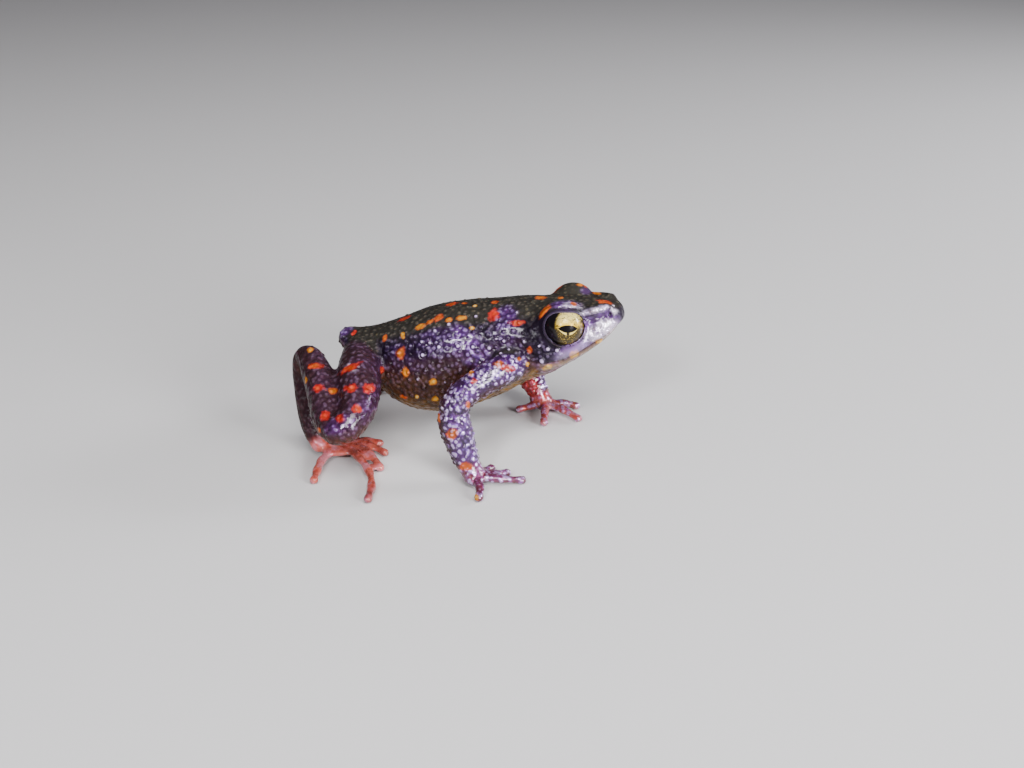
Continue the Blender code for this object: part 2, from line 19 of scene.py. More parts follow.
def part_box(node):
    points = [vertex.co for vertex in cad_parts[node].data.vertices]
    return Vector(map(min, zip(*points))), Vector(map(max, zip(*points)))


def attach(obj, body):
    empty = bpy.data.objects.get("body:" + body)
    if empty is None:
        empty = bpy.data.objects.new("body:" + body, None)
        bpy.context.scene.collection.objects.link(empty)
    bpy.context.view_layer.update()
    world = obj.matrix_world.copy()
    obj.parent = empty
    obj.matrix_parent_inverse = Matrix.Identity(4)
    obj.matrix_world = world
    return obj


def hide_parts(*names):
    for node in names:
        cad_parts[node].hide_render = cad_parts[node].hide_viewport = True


bl_info = {
    "name": "Bleeding toad",
    "version": (1, 0, 0),
    "blender": (4, 5, 0),
    "location": "3D View > Sidebar > Toad",
    "description": "Builds the skin, eyes and studio of a life-size bleeding toad",
    "category": "Object",
}

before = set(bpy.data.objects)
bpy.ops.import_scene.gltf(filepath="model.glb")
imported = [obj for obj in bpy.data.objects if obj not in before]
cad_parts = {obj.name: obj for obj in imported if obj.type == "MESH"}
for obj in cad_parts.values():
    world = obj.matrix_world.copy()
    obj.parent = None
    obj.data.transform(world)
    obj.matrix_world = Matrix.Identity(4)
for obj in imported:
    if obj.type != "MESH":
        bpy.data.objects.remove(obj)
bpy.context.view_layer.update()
MM = 0.001
SIDES = ("right", "left")
FLESH = sorted(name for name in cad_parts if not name.startswith("eye"))


def middle(box):
    return (box[0] + box[1]) / 2


def turn_about(axis, degrees):
    return Matrix.Rotation(math.radians(degrees), 3, axis)


# The trunk leans away from its raised right side, and the head is turned on the leaned trunk
LEAN = turn_about("X", -7.0)
LEAN_PIVOT = Vector((0, 0, 10.4))
HEAD_TURN = turn_about("Z", -4.0) @ turn_about("Y", -5.0) @ turn_about("X", 4.0) @ LEAN
HEAD_PIVOT = Vector((5.2, 0, 13.0))
HEAD_SHIFT = Vector((0.3, 0, -0.3))

# Places on the head before it is leaned and turned; each is mirrored to the other side
EYE_CENTRE = Vector((9.25, -3.15, 14.95))
EYE_LOOK = Vector((0.32, -0.90, 0.30)).normalized()
NOSTRIL = Vector((13.75, -1.75, 15.75))
CANTHUS = ((11.4, -2.85, 16.25), (12.4, -2.3, 16.45), (13.3, -1.75, 16.4))
MOUTH_LINE = ((15.2, 14.9), (14.2, 14.35), (12.8, 13.4), (11.0, 12.45), (9.2, 11.75), (7.6, 11.45))
MOUTH_CENTRE = 9.6
MOUTH_HALF_TURN = 112
MOUTH_STEPS = 121
MOUTH_TRIES = 6
START_HEIGHT_AT = 12
OUTSIDE_THE_HEAD = 20

# The lids' opening, as angles from the way the eye looks: level and upright in the model, then level, above
# and below on the skin
RIM_BEFORE = (math.radians(49), math.radians(43.4))
RIM_AFTER = (math.radians(69), math.radians(39), math.radians(57))
LID_DRAW_WIDTH = math.radians(26)
LID_FADE = 2.95
LID_REACH = 4.0
LID_CLEARANCE = 0.04
LID_THINNING = 0.45
LID_FOLDS = (math.radians(13), math.radians(23))
LID_FOLD_WIDTH = math.radians(2.6)
LID_FOLD_DEPTH = 0.09
LID_HOLD = (math.radians(4), math.radians(26))
LID_EDGE_WIDTH = math.radians(6)

# The grooves and swellings of the face: widths, and how far each goes in or out
SEAM_WIDTH = 0.11
SEAM_DEPTH = 0.13
LIP_PLACE = 0.6
LIP_WIDTH = 0.55
LIP_HEIGHT = 0.18
NOSTRIL_WIDTH = 0.2
NOSTRIL_DEPTH = 0.3
RIDGE_WIDTH = 0.28
RIDGE_HEIGHT = 0.17
HOLLOW_WIDTH = 0.42

# Places on an eye, as shares of its radius: ahead and up from the way it looks
EYE_LEVEL = Vector((1, 0, 0.06))
PUPIL_PLACE = (0.072, -0.094)
PUPIL_HALF_WIDTH = 0.45
PUPIL_TOP = 0.15
PUPIL_BOTTOM = 0.18
IRIS_PLACE = (0.43, -0.01)
IRIS_RADIUS = 0.95

# An eye's mesh: its rings and spokes, how the rings crowd to the front, and where its bulge fades, in degrees
EYE_RINGS = 72
EYE_SPOKES = 128
RING_CROWDING = 1.15
BULGE_FADE = (12, 76)

# How far from an eye's middle the skin is an eye's surround, and where that has faded out
EYE_SURROUND = (2.45, 2.95)

# How far the solids swell so that the cuts between them close, and how much of that is taken back
SWELLING = 0.22
SHRINKING = 0.20
SMOOTHINGS = 34
FLOOR_CLEARANCE = 0.01

# Random draws: their seeds, and how many places are drawn from
SKIN_SEED = 7
PATCH_SEED = 3
WART_CANDIDATES = 60000
MARKING_CANDIDATES = 2500

# Skin by the flesh node it lies on: violet sheen, partly the skin's own violet and partly painted sheen,
# salmon flesh, white beads, whose pale tips are partly painted highlight, and the spacing, radius and
# height of its tubercles
TORSO, HEAD, UPPER_ARM, FOREARM, HAND, THIGH, SHANK, TARSUS, FOOT = range(9)
KINDS = ("torso", "head", "upper_arm", "forearm", "hand", "thigh", "shank", "tarsus", "foot")
KIND_SHEEN = (0.28, 0.04, 0.95, 0.92, 0.90, 0.34, 0.26, 0.02, 0.20)
KIND_FLESH = (0.0, 0.0, 0.0, 0.0, 0.32, 0.03, 0.03, 0.02, 1.0)
KIND_BEADS = (0.13, 0.08, 1.0, 1.0, 0.90, 0.08, 0.05, 0.02, 0.04)
KIND_SPACING = (0.78, 1.0, 0.56, 0.56, 0.54, 0.90, 0.90, 1.0, 1.2)
KIND_RADIUS = (0.28, 0.24, 0.26, 0.25, 0.20, 0.27, 0.27, 0.24, 0.12)
KIND_HEIGHT = (0.19, 0.09, 0.14, 0.13, 0.06, 0.09, 0.09, 0.05, 0.0)

# The shape of a tubercle: how rounded its dome is, and the ring sunk round it, in shares of radius and height
WART_ROUNDNESS = 1.4
SUNK_PLACE = 1.12
SUNK_WIDTH = 0.2
SUNK_DEPTH = 0.3


def leaned(point):
    """A place on the trunk, once the trunk has been leaned over."""
    return LEAN @ (Vector(point) - LEAN_PIVOT) + LEAN_PIVOT


def unleaned(point):
    return LEAN.transposed() @ (Vector(point) - LEAN_PIVOT) + LEAN_PIVOT


def headed(point):
    """A place on the head, once the trunk has been leaned over and the head turned on it."""
    return HEAD_TURN @ (Vector(point) - HEAD_PIVOT) + leaned(HEAD_PIVOT) + HEAD_SHIFT


def unheaded(point):
    return HEAD_TURN.transposed() @ (Vector(point) - leaned(HEAD_PIVOT) - HEAD_SHIFT) + HEAD_PIVOT


# The right eye ties the toad's own frame, in millimetres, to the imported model's
TOAD_ORIGIN = middle(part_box("eye_right")) - headed(EYE_CENTRE) * MM
EYE_RADIUS = (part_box("eye_right")[1].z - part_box("eye_right")[0].z) / MM / 2
SOCKET_RADIUS = EYE_RADIUS + 0.3

# The camera, in the toad's frame, and the photograph's frame in pixels
CAMERA_PLACE = Vector((22.79, -122.99, 64.94))
CAMERA_WAY = Vector((-0.1418, 0.8951, -0.4226)).normalized()
CAMERA_LENS = 45.0
CAMERA_SENSOR = 36.0
CAMERA_NEAR = 0.005
CAMERA_DISTANCE = 128
PHOTO_SIZE = (1024, 768)
PIXELS_PER_MM = 9.0

# Markings: how deep one reaches into the skin, how far from the midline they are mirrored from, and how much
# a mirrored one is moved, resized and recoloured
MARKING_DEPTH = 1.6
MIDLINE_WIDTH = 1.2
FAR_SHIFT = 0.45
FAR_SIZES = (0.8, 1.2)
FAR_HUE_SHIFT = 0.08

# Markings at random: their half lengths, widths as shares of those, gaps, hues, and how often each hue comes
LOOSE_HALF_LENGTHS = (0.45, 0.85)
LOOSE_WIDTHS = (0.55, 0.9)
LIMB_MARKING_GAP = 2.6
FLANK_MARKING_GAP = 3.4
LOOSE_HUES = (0.1, 0.16, 0.3, 0.5, 0.7)
LOOSE_HUE_SHARES = (0.3, 0.25, 0.2, 0.15, 0.1)

# The markings that the photograph shows, each by its middle, length and width in pixels, its turn in degrees,
# and its hue from 0, deep red, by orange and yellow, to 1, cream
TRUNK_MARKINGS = (
    ((494, 315), 17, 12, 78, 0.08),
    ((495, 302), 9, 8, 0, 0.35),
    ((517, 323), 17, 7, 4, 0.22),
    ((420, 327), 13, 6, 25, 0.72),
    ((430, 322), 9, 5, 25, 0.5),
    ((439, 318), 12, 9, 35, 0.38),
    ((449, 320), 7, 6, 0, 0.72),
    ((461, 318), 12, 6, 5, 0.75),
    ((452, 304), 13, 5, 12, 0.28),
    ((465, 303), 8, 4, 0, 0.42),
    ((404, 319), 17, 5, 25, 0.14),
    ((385, 338), 11, 5, 70, 0.5),
    ((403, 335), 8, 5, 90, 0.84),
    ((401, 353), 15, 10, 70, 0.52),
    ((405, 372), 12, 9, 90, 0.64),
    ((433, 382), 8, 8, 0, 0.78),
    ((404, 397), 9, 6, 0, 0.4),
    ((435, 399), 8, 6, 30, 0.86),
    ((417, 397), 5, 5, 0, 0.95),
    ((381, 370), 10, 8, 0, 0.14),
    ((471, 373), 8, 6, 60, 0.6),
    ((474, 381), 8, 6, 20, 0.12),
    ((472, 328), 6, 5, 0, 0.9),
    ((475, 306), 5, 4, 0, 0.97),
    ((519, 359), 6, 5, 0, 0.52),
    ((530, 350), 7, 8, 0, 0.42),
    ((527, 364), 5, 5, 0, 0.9),
    ((354, 333), 8, 5, 60, 0.05),
)
HEAD_MARKINGS = (
    ((541, 298), 12, 7, 5, 0.55),
    ((545, 311), 18, 7, 48, 0.5),
    ((574, 304), 9, 5, -12, 0.4),
    ((561, 298), 7, 4, 20, 0.62),
    ((604, 302), 18, 6, -14, 0.34),
    ((580, 285), 9, 4, 5, 0.66),
    ((597, 293), 12, 4, -25, 0.6),
    ((599, 341), 8, 10, 60, 0.84),
    ((574, 354), 12, 12, 0, 0.86),
    ((547, 367), 12, 6, 30, 0.92),
)
LIMB_MARKINGS = (
    ((498, 364), 11, 8, 0, 0.5),
    ((507, 368), 19, 8, -12, 0.08),
    ((452, 434), 13, 11, 20, 0.48),
    ((466, 466), 16, 10, 5, 0.42),
    ((472, 495), 7, 8, 0, 0.82),
    ((439, 418), 5, 9, 0, 0.62),
    ((473, 410), 5, 10, 0, 0.5),
    ((350, 368), 30, 7, 25, 0.2),
    ((351, 388), 17, 9, 10, 0.16),
    ((369, 388), 15, 12, 40, 0.12),
    ((357, 409), 11, 10, 0, 0.16),
    ((340, 418), 10, 11, 0, 0.12),
    ((310, 350), 7, 8, 0, 0.74),
    ((315, 366), 19, 7, 0, 0.3),
    ((318, 388), 14, 9, 0, 0.12),
    ((333, 391), 11, 8, 0, 0.52),
    ((325, 416), 12, 11, 60, 0.12),
    ((306, 380), 4, 9, 0, 0.74),
    ((290, 437), 7, 6, 0, 0.5),
)

# The largest white tubercles of the near side, each by its middle and width in pixels
WHITE_WARTS = (
    ((458, 346), 6),
    ((439, 347), 6),
    ((423, 355), 6),
    ((422, 342), 5),
    ((430, 343), 5),
    ((435, 331), 5),
    ((449, 325), 6),
    ((473, 347), 6),
    ((489, 348), 6),
    ((504, 341), 5),
    ((501, 354), 5),
    ((509, 350), 4),
    ((496, 339), 4),
    ((524, 341), 4),
    ((542, 360), 7),
    ((548, 349), 6),
    ((557, 350), 6),
    ((539, 346), 4),
    ((418, 379), 5),
    ((445, 382), 4),
    ((517, 313), 4),
    ((476, 317), 5),
)
WHITE_WART_HEIGHT = 0.2

# Where the near side is most violet, partly its own colour and partly painted sheen, by middle, length,
# width and turn as above, and how much
VIOLET_SHEEN_PATCHES = (
    ((470, 348), 66, 30, -48, 1.0),
    ((506, 318), 34, 26, 80, 0.8),
    ((440, 335), 50, 18, 10, 0.5),
    ((574, 349), 44, 18, 28, 0.8),
    ((600, 324), 44, 30, 20, 1.0),
    ((568, 303), 38, 13, 4, 0.9),
    ((586, 291), 14, 10, 0, 0.6),
    ((344, 330), 22, 16, 0, 0.9),
    ((340, 424), 38, 20, 25, 0.75),
    ((366, 400), 14, 40, 0, 0.35),
)

# Where the near side is wettest and painted palest as a highlight, and where it is nearly black, in the same
# way
PAINTED_HIGHLIGHT_PATCHES = (
    ((602, 330), 36, 18, 22, 1.0),
    ((593, 311), 26, 6, 14, 0.9),
    ((614, 309), 7, 11, 0, 0.9),
    ((574, 305), 24, 6, -4, 0.7),
    ((487, 374), 44, 13, 42, 0.65),
    ((449, 405), 30, 16, 80, 0.5),
    ((341, 328), 14, 7, 0, 0.6),
    ((346, 428), 12, 14, 60, 0.5),
    ((480, 477), 26, 12, 20, 0.35),
    ((541, 383), 18, 7, -60, 0.6),
)
DARK_PATCHES = (
    ((533, 332), 38, 28, 60, 0.9),
    ((486, 335), 12, 26, 0, 0.5),
    ((384, 352), 20, 30, 0, 0.7),
    ((418, 352), 20, 16, 0, 0.4),
)

# The studio: its tint, the floor's corners and what the lights face. Then each light's place in millimetres,
# size in metres, the setting that its power is a share of, that share, its colour and its spread in degrees
STUDIO_TINT = (0.93, 0.89, 1.0, 1)
FLOOR_CORNERS = 96
LIT_PLACE = Vector((0, 0, 9))
LIGHTS = (
    ("key", (70, -210, 290), 0.16, "key", 1.0, (1.0, 0.97, 0.98), 180),
    ("sparkle", (-60, -260, 190), 0.05, "sparkle", 1.0, (0.96, 0.95, 1.0), 180),
    ("lip", (265, -215, 105), 0.12, "sparkle", 0.8, (0.97, 0.96, 1.0), 90),
    ("front", (270, 120, 120), 0.09, "sparkle", 1.4, (0.94, 0.94, 1.0), 180),
)


def colour_property(name, description, default):
    return FloatVectorProperty(
        name=name, description=description, default=default, size=3, min=0, max=1, subtype="COLOR"
    )


def length_property(name, description, millimetres):
    return FloatProperty(
        name=name, description=description, default=millimetres * MM, min=0, unit="LENGTH", precision=6
    )


def power_property(name, description, watts):
    return FloatProperty(name=name, description=description, default=watts, min=0, unit="POWER")


class ToadSkinSettings(bpy.types.PropertyGroup):
    """Sizes and colours of the toad's skin."""

    fineness: length_property("Fineness", "Spacing of the points that the skin is first made of", 0.1)
    triangles: IntProperty(name="Triangles", description="How many the finished skin keeps", default=190000)
    ground: colour_property("Ground", "The dark skin between the markings", (0.006, 0.003, 0.008))
    # Sheen: partly the skin's own violet and partly painted sheen
    sheen: colour_property("Sheen", "The violet of the wet flank and limbs", (0.115, 0.020, 0.200))
    brown: colour_property("Brown", "The lower flank and the limbs' undersides", (0.050, 0.018, 0.004))
    back: colour_property("Back", "The dull back", (0.036, 0.034, 0.024))
    belly: colour_property("Belly", "The yellow-brown underside", (0.19, 0.10, 0.014))
    flesh: colour_property("Flesh", "The salmon red of toes and fingers", (0.52, 0.100, 0.066))
    lilac: colour_property("Lilac", "The granules where the skin is violet", (0.30, 0.15, 0.64))
    # Pearl: the pale tips of granules and tubercles, partly their own colour and partly painted highlight,
    # the lids' pale edge, and painted highlights on digits, lips and ridges
    pearl_and_highlight: colour_property("Pearl and highlight", "The pale tips of the tubercles", (0.70, 0.54, 0.88))
    # A painted highlight on the wettest places
    painted_highlight: colour_property("Painted highlight", "The palest, wettest skin", (0.90, 0.80, 0.95))
    red: colour_property("Red", "The deepest red markings", (0.54, 0.020, 0.008))
    orange: colour_property("Orange", "The orange markings", (0.55, 0.125, 0.003))
    yellow: colour_property("Yellow", "The yellow markings", (0.66, 0.29, 0.008))
    cream: colour_property("Cream", "The palest markings", (0.80, 0.60, 0.24))


class ToadEyeSettings(bpy.types.PropertyGroup):
    """Sizes and colours of the toad's eyes."""

    bulge: length_property("Bulge", "How far the front of the eye stands out of its globe", 0.22)
    gold: colour_property("Gold", "The upper iris", (0.60, 0.40, 0.045))
    # Straw: the crescents' own colour, and the iris's palest top, which is partly a painted highlight
    straw_and_highlight: colour_property("Straw and highlight", "The palest top of the iris and the crescents below", (0.92, 0.78, 0.27))
    amber: colour_property("Amber", "The lower and outer iris", (0.032, 0.022, 0.005))
    black: colour_property("Black", "The pupil, veins and rim", (0.004, 0.003, 0.004))


class ToadStageSettings(bpy.types.PropertyGroup):
    """The floor, the light and the camera."""

    floor: colour_property("Floor", "The plain pale floor", (0.62, 0.62, 0.61))
    floor_reach: FloatProperty(
        name="Floor reach", description="Radius of the floor", default=1.6, min=0.1, unit="LENGTH"
    )
    surroundings: FloatProperty(
        name="Surroundings", description="Strength of the even light from all round", default=0.12, min=0
    )
    key: power_property("Key", "Power of the main soft light", 1.25)
    sparkle: power_property("Sparkle", "Power that each small light on the wet skin takes a share of", 0.6)


class Value:
    """A number in a material's node tree. Python's operators on it add Math nodes."""

    def __init__(self, paint, socket):
        self.paint = paint
        self.socket = socket

    def math(self, operation, *others):
        return self.paint.node("ShaderNodeMath", dict(enumerate((self, *others))), operation=operation)

    def __add__(self, other):
        return self.math("ADD", other)

    def __sub__(self, other):
        return self.math("SUBTRACT", other)

    def __mul__(self, other):
        return self.math("MULTIPLY", other)

    def __truediv__(self, other):
        return self.math("DIVIDE", other)

    def __pow__(self, other):
        return self.math("POWER", other)

    def __rsub__(self, other):
        return self.paint.node("ShaderNodeMath", {0: other, 1: self}, operation="SUBTRACT")

    __radd__ = __add__
    __rmul__ = __mul__

    def least(self, other):
        return self.math("MINIMUM", other)

    def most(self, other):
        return self.math("MAXIMUM", other)

    def size(self):
        return self.math("ABSOLUTE")

    def step(self, low, high):
        """0 below low, 1 above high, and smooth between. With low over high it falls instead."""
        if low > high:
            return 1 - self.step(high, low)
        settings = {"Value": self, "From Min": low, "From Max": high}
        return self.paint.node("ShaderNodeMapRange", settings, interpolation_type="SMOOTHSTEP")


class Paint:
    """One material, and the nodes that vary it."""

    def __init__(self, name, **constants):
        self.material = bpy.data.materials.new(name)
        self.material.use_nodes = True
        self.tree = self.material.node_tree
        self.shader = self.tree.nodes["Principled BSDF"]
        for socket, value in constants.items():
            self.shader.inputs[socket.replace("_", " ")].default_value = value

    def node(self, kind, sockets=None, output=0, stops=(), **settings):
        """Adds a node, sets it up, then fills its sockets, and returns one of its outputs."""
        made = self.tree.nodes.new(kind)
        for name, value in settings.items():
            setattr(made, name, value)
        if stops:
            ramp = made.color_ramp.elements
            while len(ramp) < len(stops):
                ramp.new(1)
            for element, (position, colour) in zip(ramp, stops):
                element.position = position
                element.color = (*colour, 1)
        for key, value in (sockets or {}).items():
            self.fill(made.inputs[key], value)
        return Value(self, made.outputs[output])

    def fill(self, socket, value):
        if isinstance(value, Value):
            self.tree.links.new(value.socket, socket)
        elif socket.type == "RGBA":
            socket.default_value = (*value, 1)
        else:
            socket.default_value = value

    def mix(self, below, above, share):
        """One colour over another."""
        return self.node(
            "ShaderNodeMix", {0: share, 6: below, 7: above}, output=2, data_type="RGBA", clamp_factor=True
        )

    def attribute(self, name):
        return self.node("ShaderNodeAttribute", output=2, attribute_name=name)

    def places(self):
        return self.node("ShaderNodeTexCoord", output=3)

    def grain(self, size, detail=2.0, roughness=0.5):
        """Cloudy noise with features of this size in millimetres."""
        sockets = {"Vector": self.places(), "Scale": 1 / (size * MM)}
        sockets |= {"Detail": detail, "Roughness": roughness}
        return self.node("ShaderNodeTexNoise", sockets)

    def granules(self, size):
        """Round cells of this size in millimetres: 0 at each middle."""
        sockets = {"Vector": self.places(), "Scale": 1 / (size * MM), "Smoothness": 0.6}
        return self.node("ShaderNodeTexVoronoi", sockets, feature="SMOOTH_F1")

    def bump(self, height, distance, strength=1.0, normal=None):
        """Distance in millimetres."""
        sockets = {"Height": height, "Distance": distance * MM, "Strength": strength}
        if normal:
            sockets["Normal"] = normal
        return self.node("ShaderNodeBump", sockets)

    def feed(self, **sockets):
        for name, value in sockets.items():
            self.fill(self.shader.inputs[name.replace("_", " ")], value)


def on_side(side, vector):
    """A place or direction of the right side, before the head is turned, on the side that is asked for."""
    return Vector(vector) if side == "right" else Vector((vector[0], -vector[1], vector[2]))


def eye_place(side):
    """The middle of an eye, in the toad's frame."""
    return (middle(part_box(f"eye_{side}")) - TOAD_ORIGIN) / MM


def eye_axes(side):
    """Ahead, up and out: the eye's own axes, with out the way it looks."""
    out = (HEAD_TURN @ on_side(side, EYE_LOOK)).normalized()
    ahead = EYE_LEVEL
    ahead = (ahead - out * ahead.dot(out)).normalized()
    up = out.cross(ahead) if side == "left" else ahead.cross(out)
    return ahead, -up if up.z < 0 else up, out


def camera_axes():
    right = CAMERA_WAY.cross(Vector((0, 0, 1))).normalized()
    return right, right.cross(CAMERA_WAY)


def eased(values, low, high):
    """0 below low, 1 above high, smooth between."""
    t = np.clip((values - low) / (high - low), 0, 1)
    return t * t * (3 - 2 * t)


def hump(distances, width):
    return np.exp(-((distances / width) ** 2))


def read_points(mesh):
    points = np.empty(len(mesh.vertices) * 3, np.float32)
    mesh.vertices.foreach_get("co", points)
    return points.reshape(-1, 3).astype(float)


def read_normals(mesh):
    normals = np.empty(len(mesh.vertices) * 3, np.float32)
    mesh.vertex_normals.foreach_get("vector", normals)
    return normals.reshape(-1, 3).astype(float)


def write_points(mesh, points):
    mesh.vertices.foreach_set("co", points.astype(np.float32).ravel())
    mesh.update()


def object_of(name, mesh):
    obj = bpy.data.objects.new(name, mesh)
    bpy.context.scene.collection.objects.link(obj)
    return obj


def modified(mesh, steps):
    """The mesh after some modifiers, each a type and its settings."""
    obj = object_of("being_made", mesh)
    for kind, settings in steps:
        modifier = obj.modifiers.new(kind, kind)
        for name, value in settings.items():
            setattr(modifier, name, value)
    graph = bpy.context.evaluated_depsgraph_get()
    made = bpy.data.meshes.new_from_object(obj.evaluated_get(graph))
    bpy.data.objects.remove(obj)
    bpy.data.meshes.remove(mesh)
    return made


def near_pairs(points, centres, reach):
    """Every pair of a point and a centre at most reach apart, as two index arrays and their distances."""
    low = np.minimum(points.min(0), centres.min(0)) - 2 * reach
    span = (np.ceil((np.maximum(points.max(0), centres.max(0)) - low) / reach) + 3).astype(np.int64)
    key_of = np.array([span[1] * span[2], span[2], 1])
    cells = ((points - low) / reach).astype(np.int64) @ key_of
    order = np.argsort(cells, kind="stable")
    sorted_cells = cells[order]
    centre_cells = ((centres - low) / reach).astype(np.int64)
    found_points, found_centres = [], []
    for dx in (-1, 0, 1):
        for dy in (-1, 0, 1):
            keys = (centre_cells + (dx, dy, 0)) @ key_of
            first = np.searchsorted(sorted_cells, keys - 1, "left")
            last = np.searchsorted(sorted_cells, keys + 1, "right")
            counts = last - first
            ends = np.cumsum(counts)
            rows = np.arange(ends[-1]) - np.repeat(ends - counts, counts) + np.repeat(first, counts)
            found_points.append(order[rows])
            found_centres.append(np.repeat(np.arange(len(centres)), counts))
    which = np.concatenate(found_points)
    whose = np.concatenate(found_centres)
    distances = np.linalg.norm(points[which] - centres[whose], axis=1)
    near = distances <= reach
    return which[near], whose[near], distances[near]


def spread_out(points, spacing, rng):
    """Indices of points taken in random order, each no nearer to one taken before than its own spacing."""
    reach = float(spacing.max())
    taken = {}
    kept = []
    for index in rng.permutation(len(points)):
        x, y, z = points[index]
        cell = (int(x // reach), int(y // reach), int(z // reach))
        limit = spacing[index] ** 2
        near = (
            place
            for i, j, k in product((-1, 0, 1), repeat=3)
            for place in taken.get((cell[0] + i, cell[1] + j, cell[2] + k), ())
        )
        if all((a - x) ** 2 + (b - y) ** 2 + (c - z) ** 2 >= limit for a, b, c in near):
            taken.setdefault(cell, []).append((x, y, z))
            kept.append(index)
    return np.array(kept)


def welded(mesh):
    """A mesh's points in the toad's frame, each once, and its faces by those points."""
    points = (read_points(mesh) - np.array(TOAD_ORIGIN)) / MM
    _, first, index = np.unique(np.round(points, 3), axis=0, return_index=True, return_inverse=True)
    index = index.ravel()
    faces = [tuple(index[i] for i in face.vertices) for face in mesh.polygons]
    return points[first], [face for face in faces if len(set(face)) == len(face)]


def flesh_surfaces(swelling):
    """All the flesh nodes as one mesh in the toad's frame, swollen so that the cuts between them close."""
    all_points, all_faces = [], []
    start = 0
    for name in FLESH:
        points, faces = welded(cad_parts[name].data)
        node = bpy.data.meshes.new("node")
        node.from_pydata(points.tolist(), [], faces)
        all_points.append(points + read_normals(node) * swelling)
        all_faces += [tuple(start + i for i in face) for face in faces]
        start += len(points)
        bpy.data.meshes.remove(node)
    joined = bpy.data.meshes.new("flesh")
    joined.from_pydata(np.concatenate(all_points).tolist(), [], all_faces)
    return joined


def node_of_each(points):
    """The name's number in FLESH of the flesh node nearest to each point."""
    marks = []
    for number, name in enumerate(FLESH):
        node_points = (read_points(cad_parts[name].data) - np.array(TOAD_ORIGIN)) / MM
        marks += [(point, number) for point in node_points]
    tree = KDTree(len(marks))
    for index, (point, _) in enumerate(marks):
        tree.insert(point, index)
    tree.balance()
    return np.array([marks[tree.find(point)[1]][1] for point in points])


def open_lids(points, side):
    """Draws the lids back over the globe, so that their edge lies on it as a thin ring."""
    ahead, up, out = (np.array(axis) for axis in eye_axes(side))
    place = np.array(eye_place(side))
    away = points - place
    r = np.linalg.norm(away, axis=1)
    near = r < LID_REACH
    away, r = away[near], r[near]
    u, v, w = away @ ahead, away @ up, away @ out
    turn = np.arctan2(v, u)
    tilt = np.arccos(np.clip(w / r, -1, 1))
    from_edge = RIM_BEFORE[0] + (RIM_BEFORE[1] - RIM_BEFORE[0]) * np.sin(turn) ** 2
    upright = np.where(turn > 0, RIM_AFTER[1], RIM_AFTER[2])
    to_edge = RIM_AFTER[0] + (upright - RIM_AFTER[0]) * np.sin(turn) ** 2
    fade = 1 - eased(r, LID_FADE, LID_REACH)
    new_tilt = tilt + (to_edge - from_edge) * hump(tilt - from_edge, LID_DRAW_WIDTH) * fade
    lying = EYE_RADIUS + LID_CLEARANCE + (r - SOCKET_RADIUS) * LID_THINNING
    hold = (1 - eased(new_tilt, to_edge + LID_HOLD[0], to_edge + LID_HOLD[1])) * fade
    inner = r < SOCKET_RADIUS + 0.05
    new_r = np.where(inner, r, r + (lying - r) * hold)
    new_r = np.maximum(new_r, EYE_RADIUS + LID_CLEARANCE * 0.5)
    folds = sum(hump(new_tilt - to_edge - fold, LID_FOLD_WIDTH) for fold in LID_FOLDS)
    folds *= ~inner * fade * eased(np.sin(turn), 0.0, 0.5)
    new_r -= LID_FOLD_DEPTH * folds
    flat = np.cos(turn)[:, None] * ahead + np.sin(turn)[:, None] * up
    moved = place + new_r[:, None] * (np.cos(new_tilt)[:, None] * out + np.sin(new_tilt)[:, None] * flat)
    points = points.copy()
    points[near] = moved
    edge, groove = np.zeros(len(points)), np.zeros(len(points))
    edge[near] = hump(new_tilt - to_edge, LID_EDGE_WIDTH) * hump(new_r - EYE_RADIUS - 0.1, 0.3)
    # The lids' folds, later painted as shade in the skin's colour
    groove[near] = folds
    return points, edge, groove


def base_skin(fineness):
    """One closed, even surface over all the flesh."""
    even = ("REMESH", {"mode": "VOXEL", "voxel_size": fineness})
    soften = ("SMOOTH", {"factor": 0.5, "iterations": SMOOTHINGS})
    mesh = modified(flesh_surfaces(SWELLING), (even, soften))
    write_points(mesh, read_points(mesh) - read_normals(mesh) * SHRINKING)
    return mesh


def surface_of(mesh):
    faces = [tuple(face.vertices) for face in mesh.polygons]
    return BVHTree.FromPolygons(read_points(mesh).tolist(), faces)


def edges_of(mesh):
    ends = np.empty(len(mesh.edges) * 2, np.int32)
    mesh.edges.foreach_get("vertices", ends)
    return ends.reshape(-1, 2)


def blurred(values, ends, times):
    """Values over a mesh, each drawn towards the mean of its neighbours a number of times."""
    count = np.bincount(ends.ravel(), minlength=len(values))
    for _ in range(times):
        total = np.bincount(ends[:, 0], values[ends[:, 1]], len(values))
        total += np.bincount(ends[:, 1], values[ends[:, 0]], len(values))
        values = 0.5 * values + 0.5 * total / count
    return values


def mouth_height(along):
    """Height of the line of the mouth at places along the head, before the head is turned."""
    rearmost_first = MOUTH_LINE[::-1]
    return np.interp(along, [x for x, _ in rearmost_first], [z for _, z in rearmost_first])


def mouth_path(surface):
    """Points on the skin along the mouth, from one corner round the snout to the other."""
    path = []
    for degrees in np.linspace(-MOUTH_HALF_TURN, MOUTH_HALF_TURN, MOUTH_STEPS):
        angle = math.radians(degrees)
        outwards = Vector((math.cos(angle), math.sin(angle), 0))
        height = mouth_height(START_HEIGHT_AT)
        for _ in range(MOUTH_TRIES):
            start = headed(Vector((MOUTH_CENTRE, 0, height)) + outwards * OUTSIDE_THE_HEAD)
            hit = surface.ray_cast(start, -(HEAD_TURN @ outwards))[0]
            if hit is None:
                break
            height = mouth_height(unheaded(hit).x)
        if hit is not None:
            path.append(hit)
    return np.array(path)


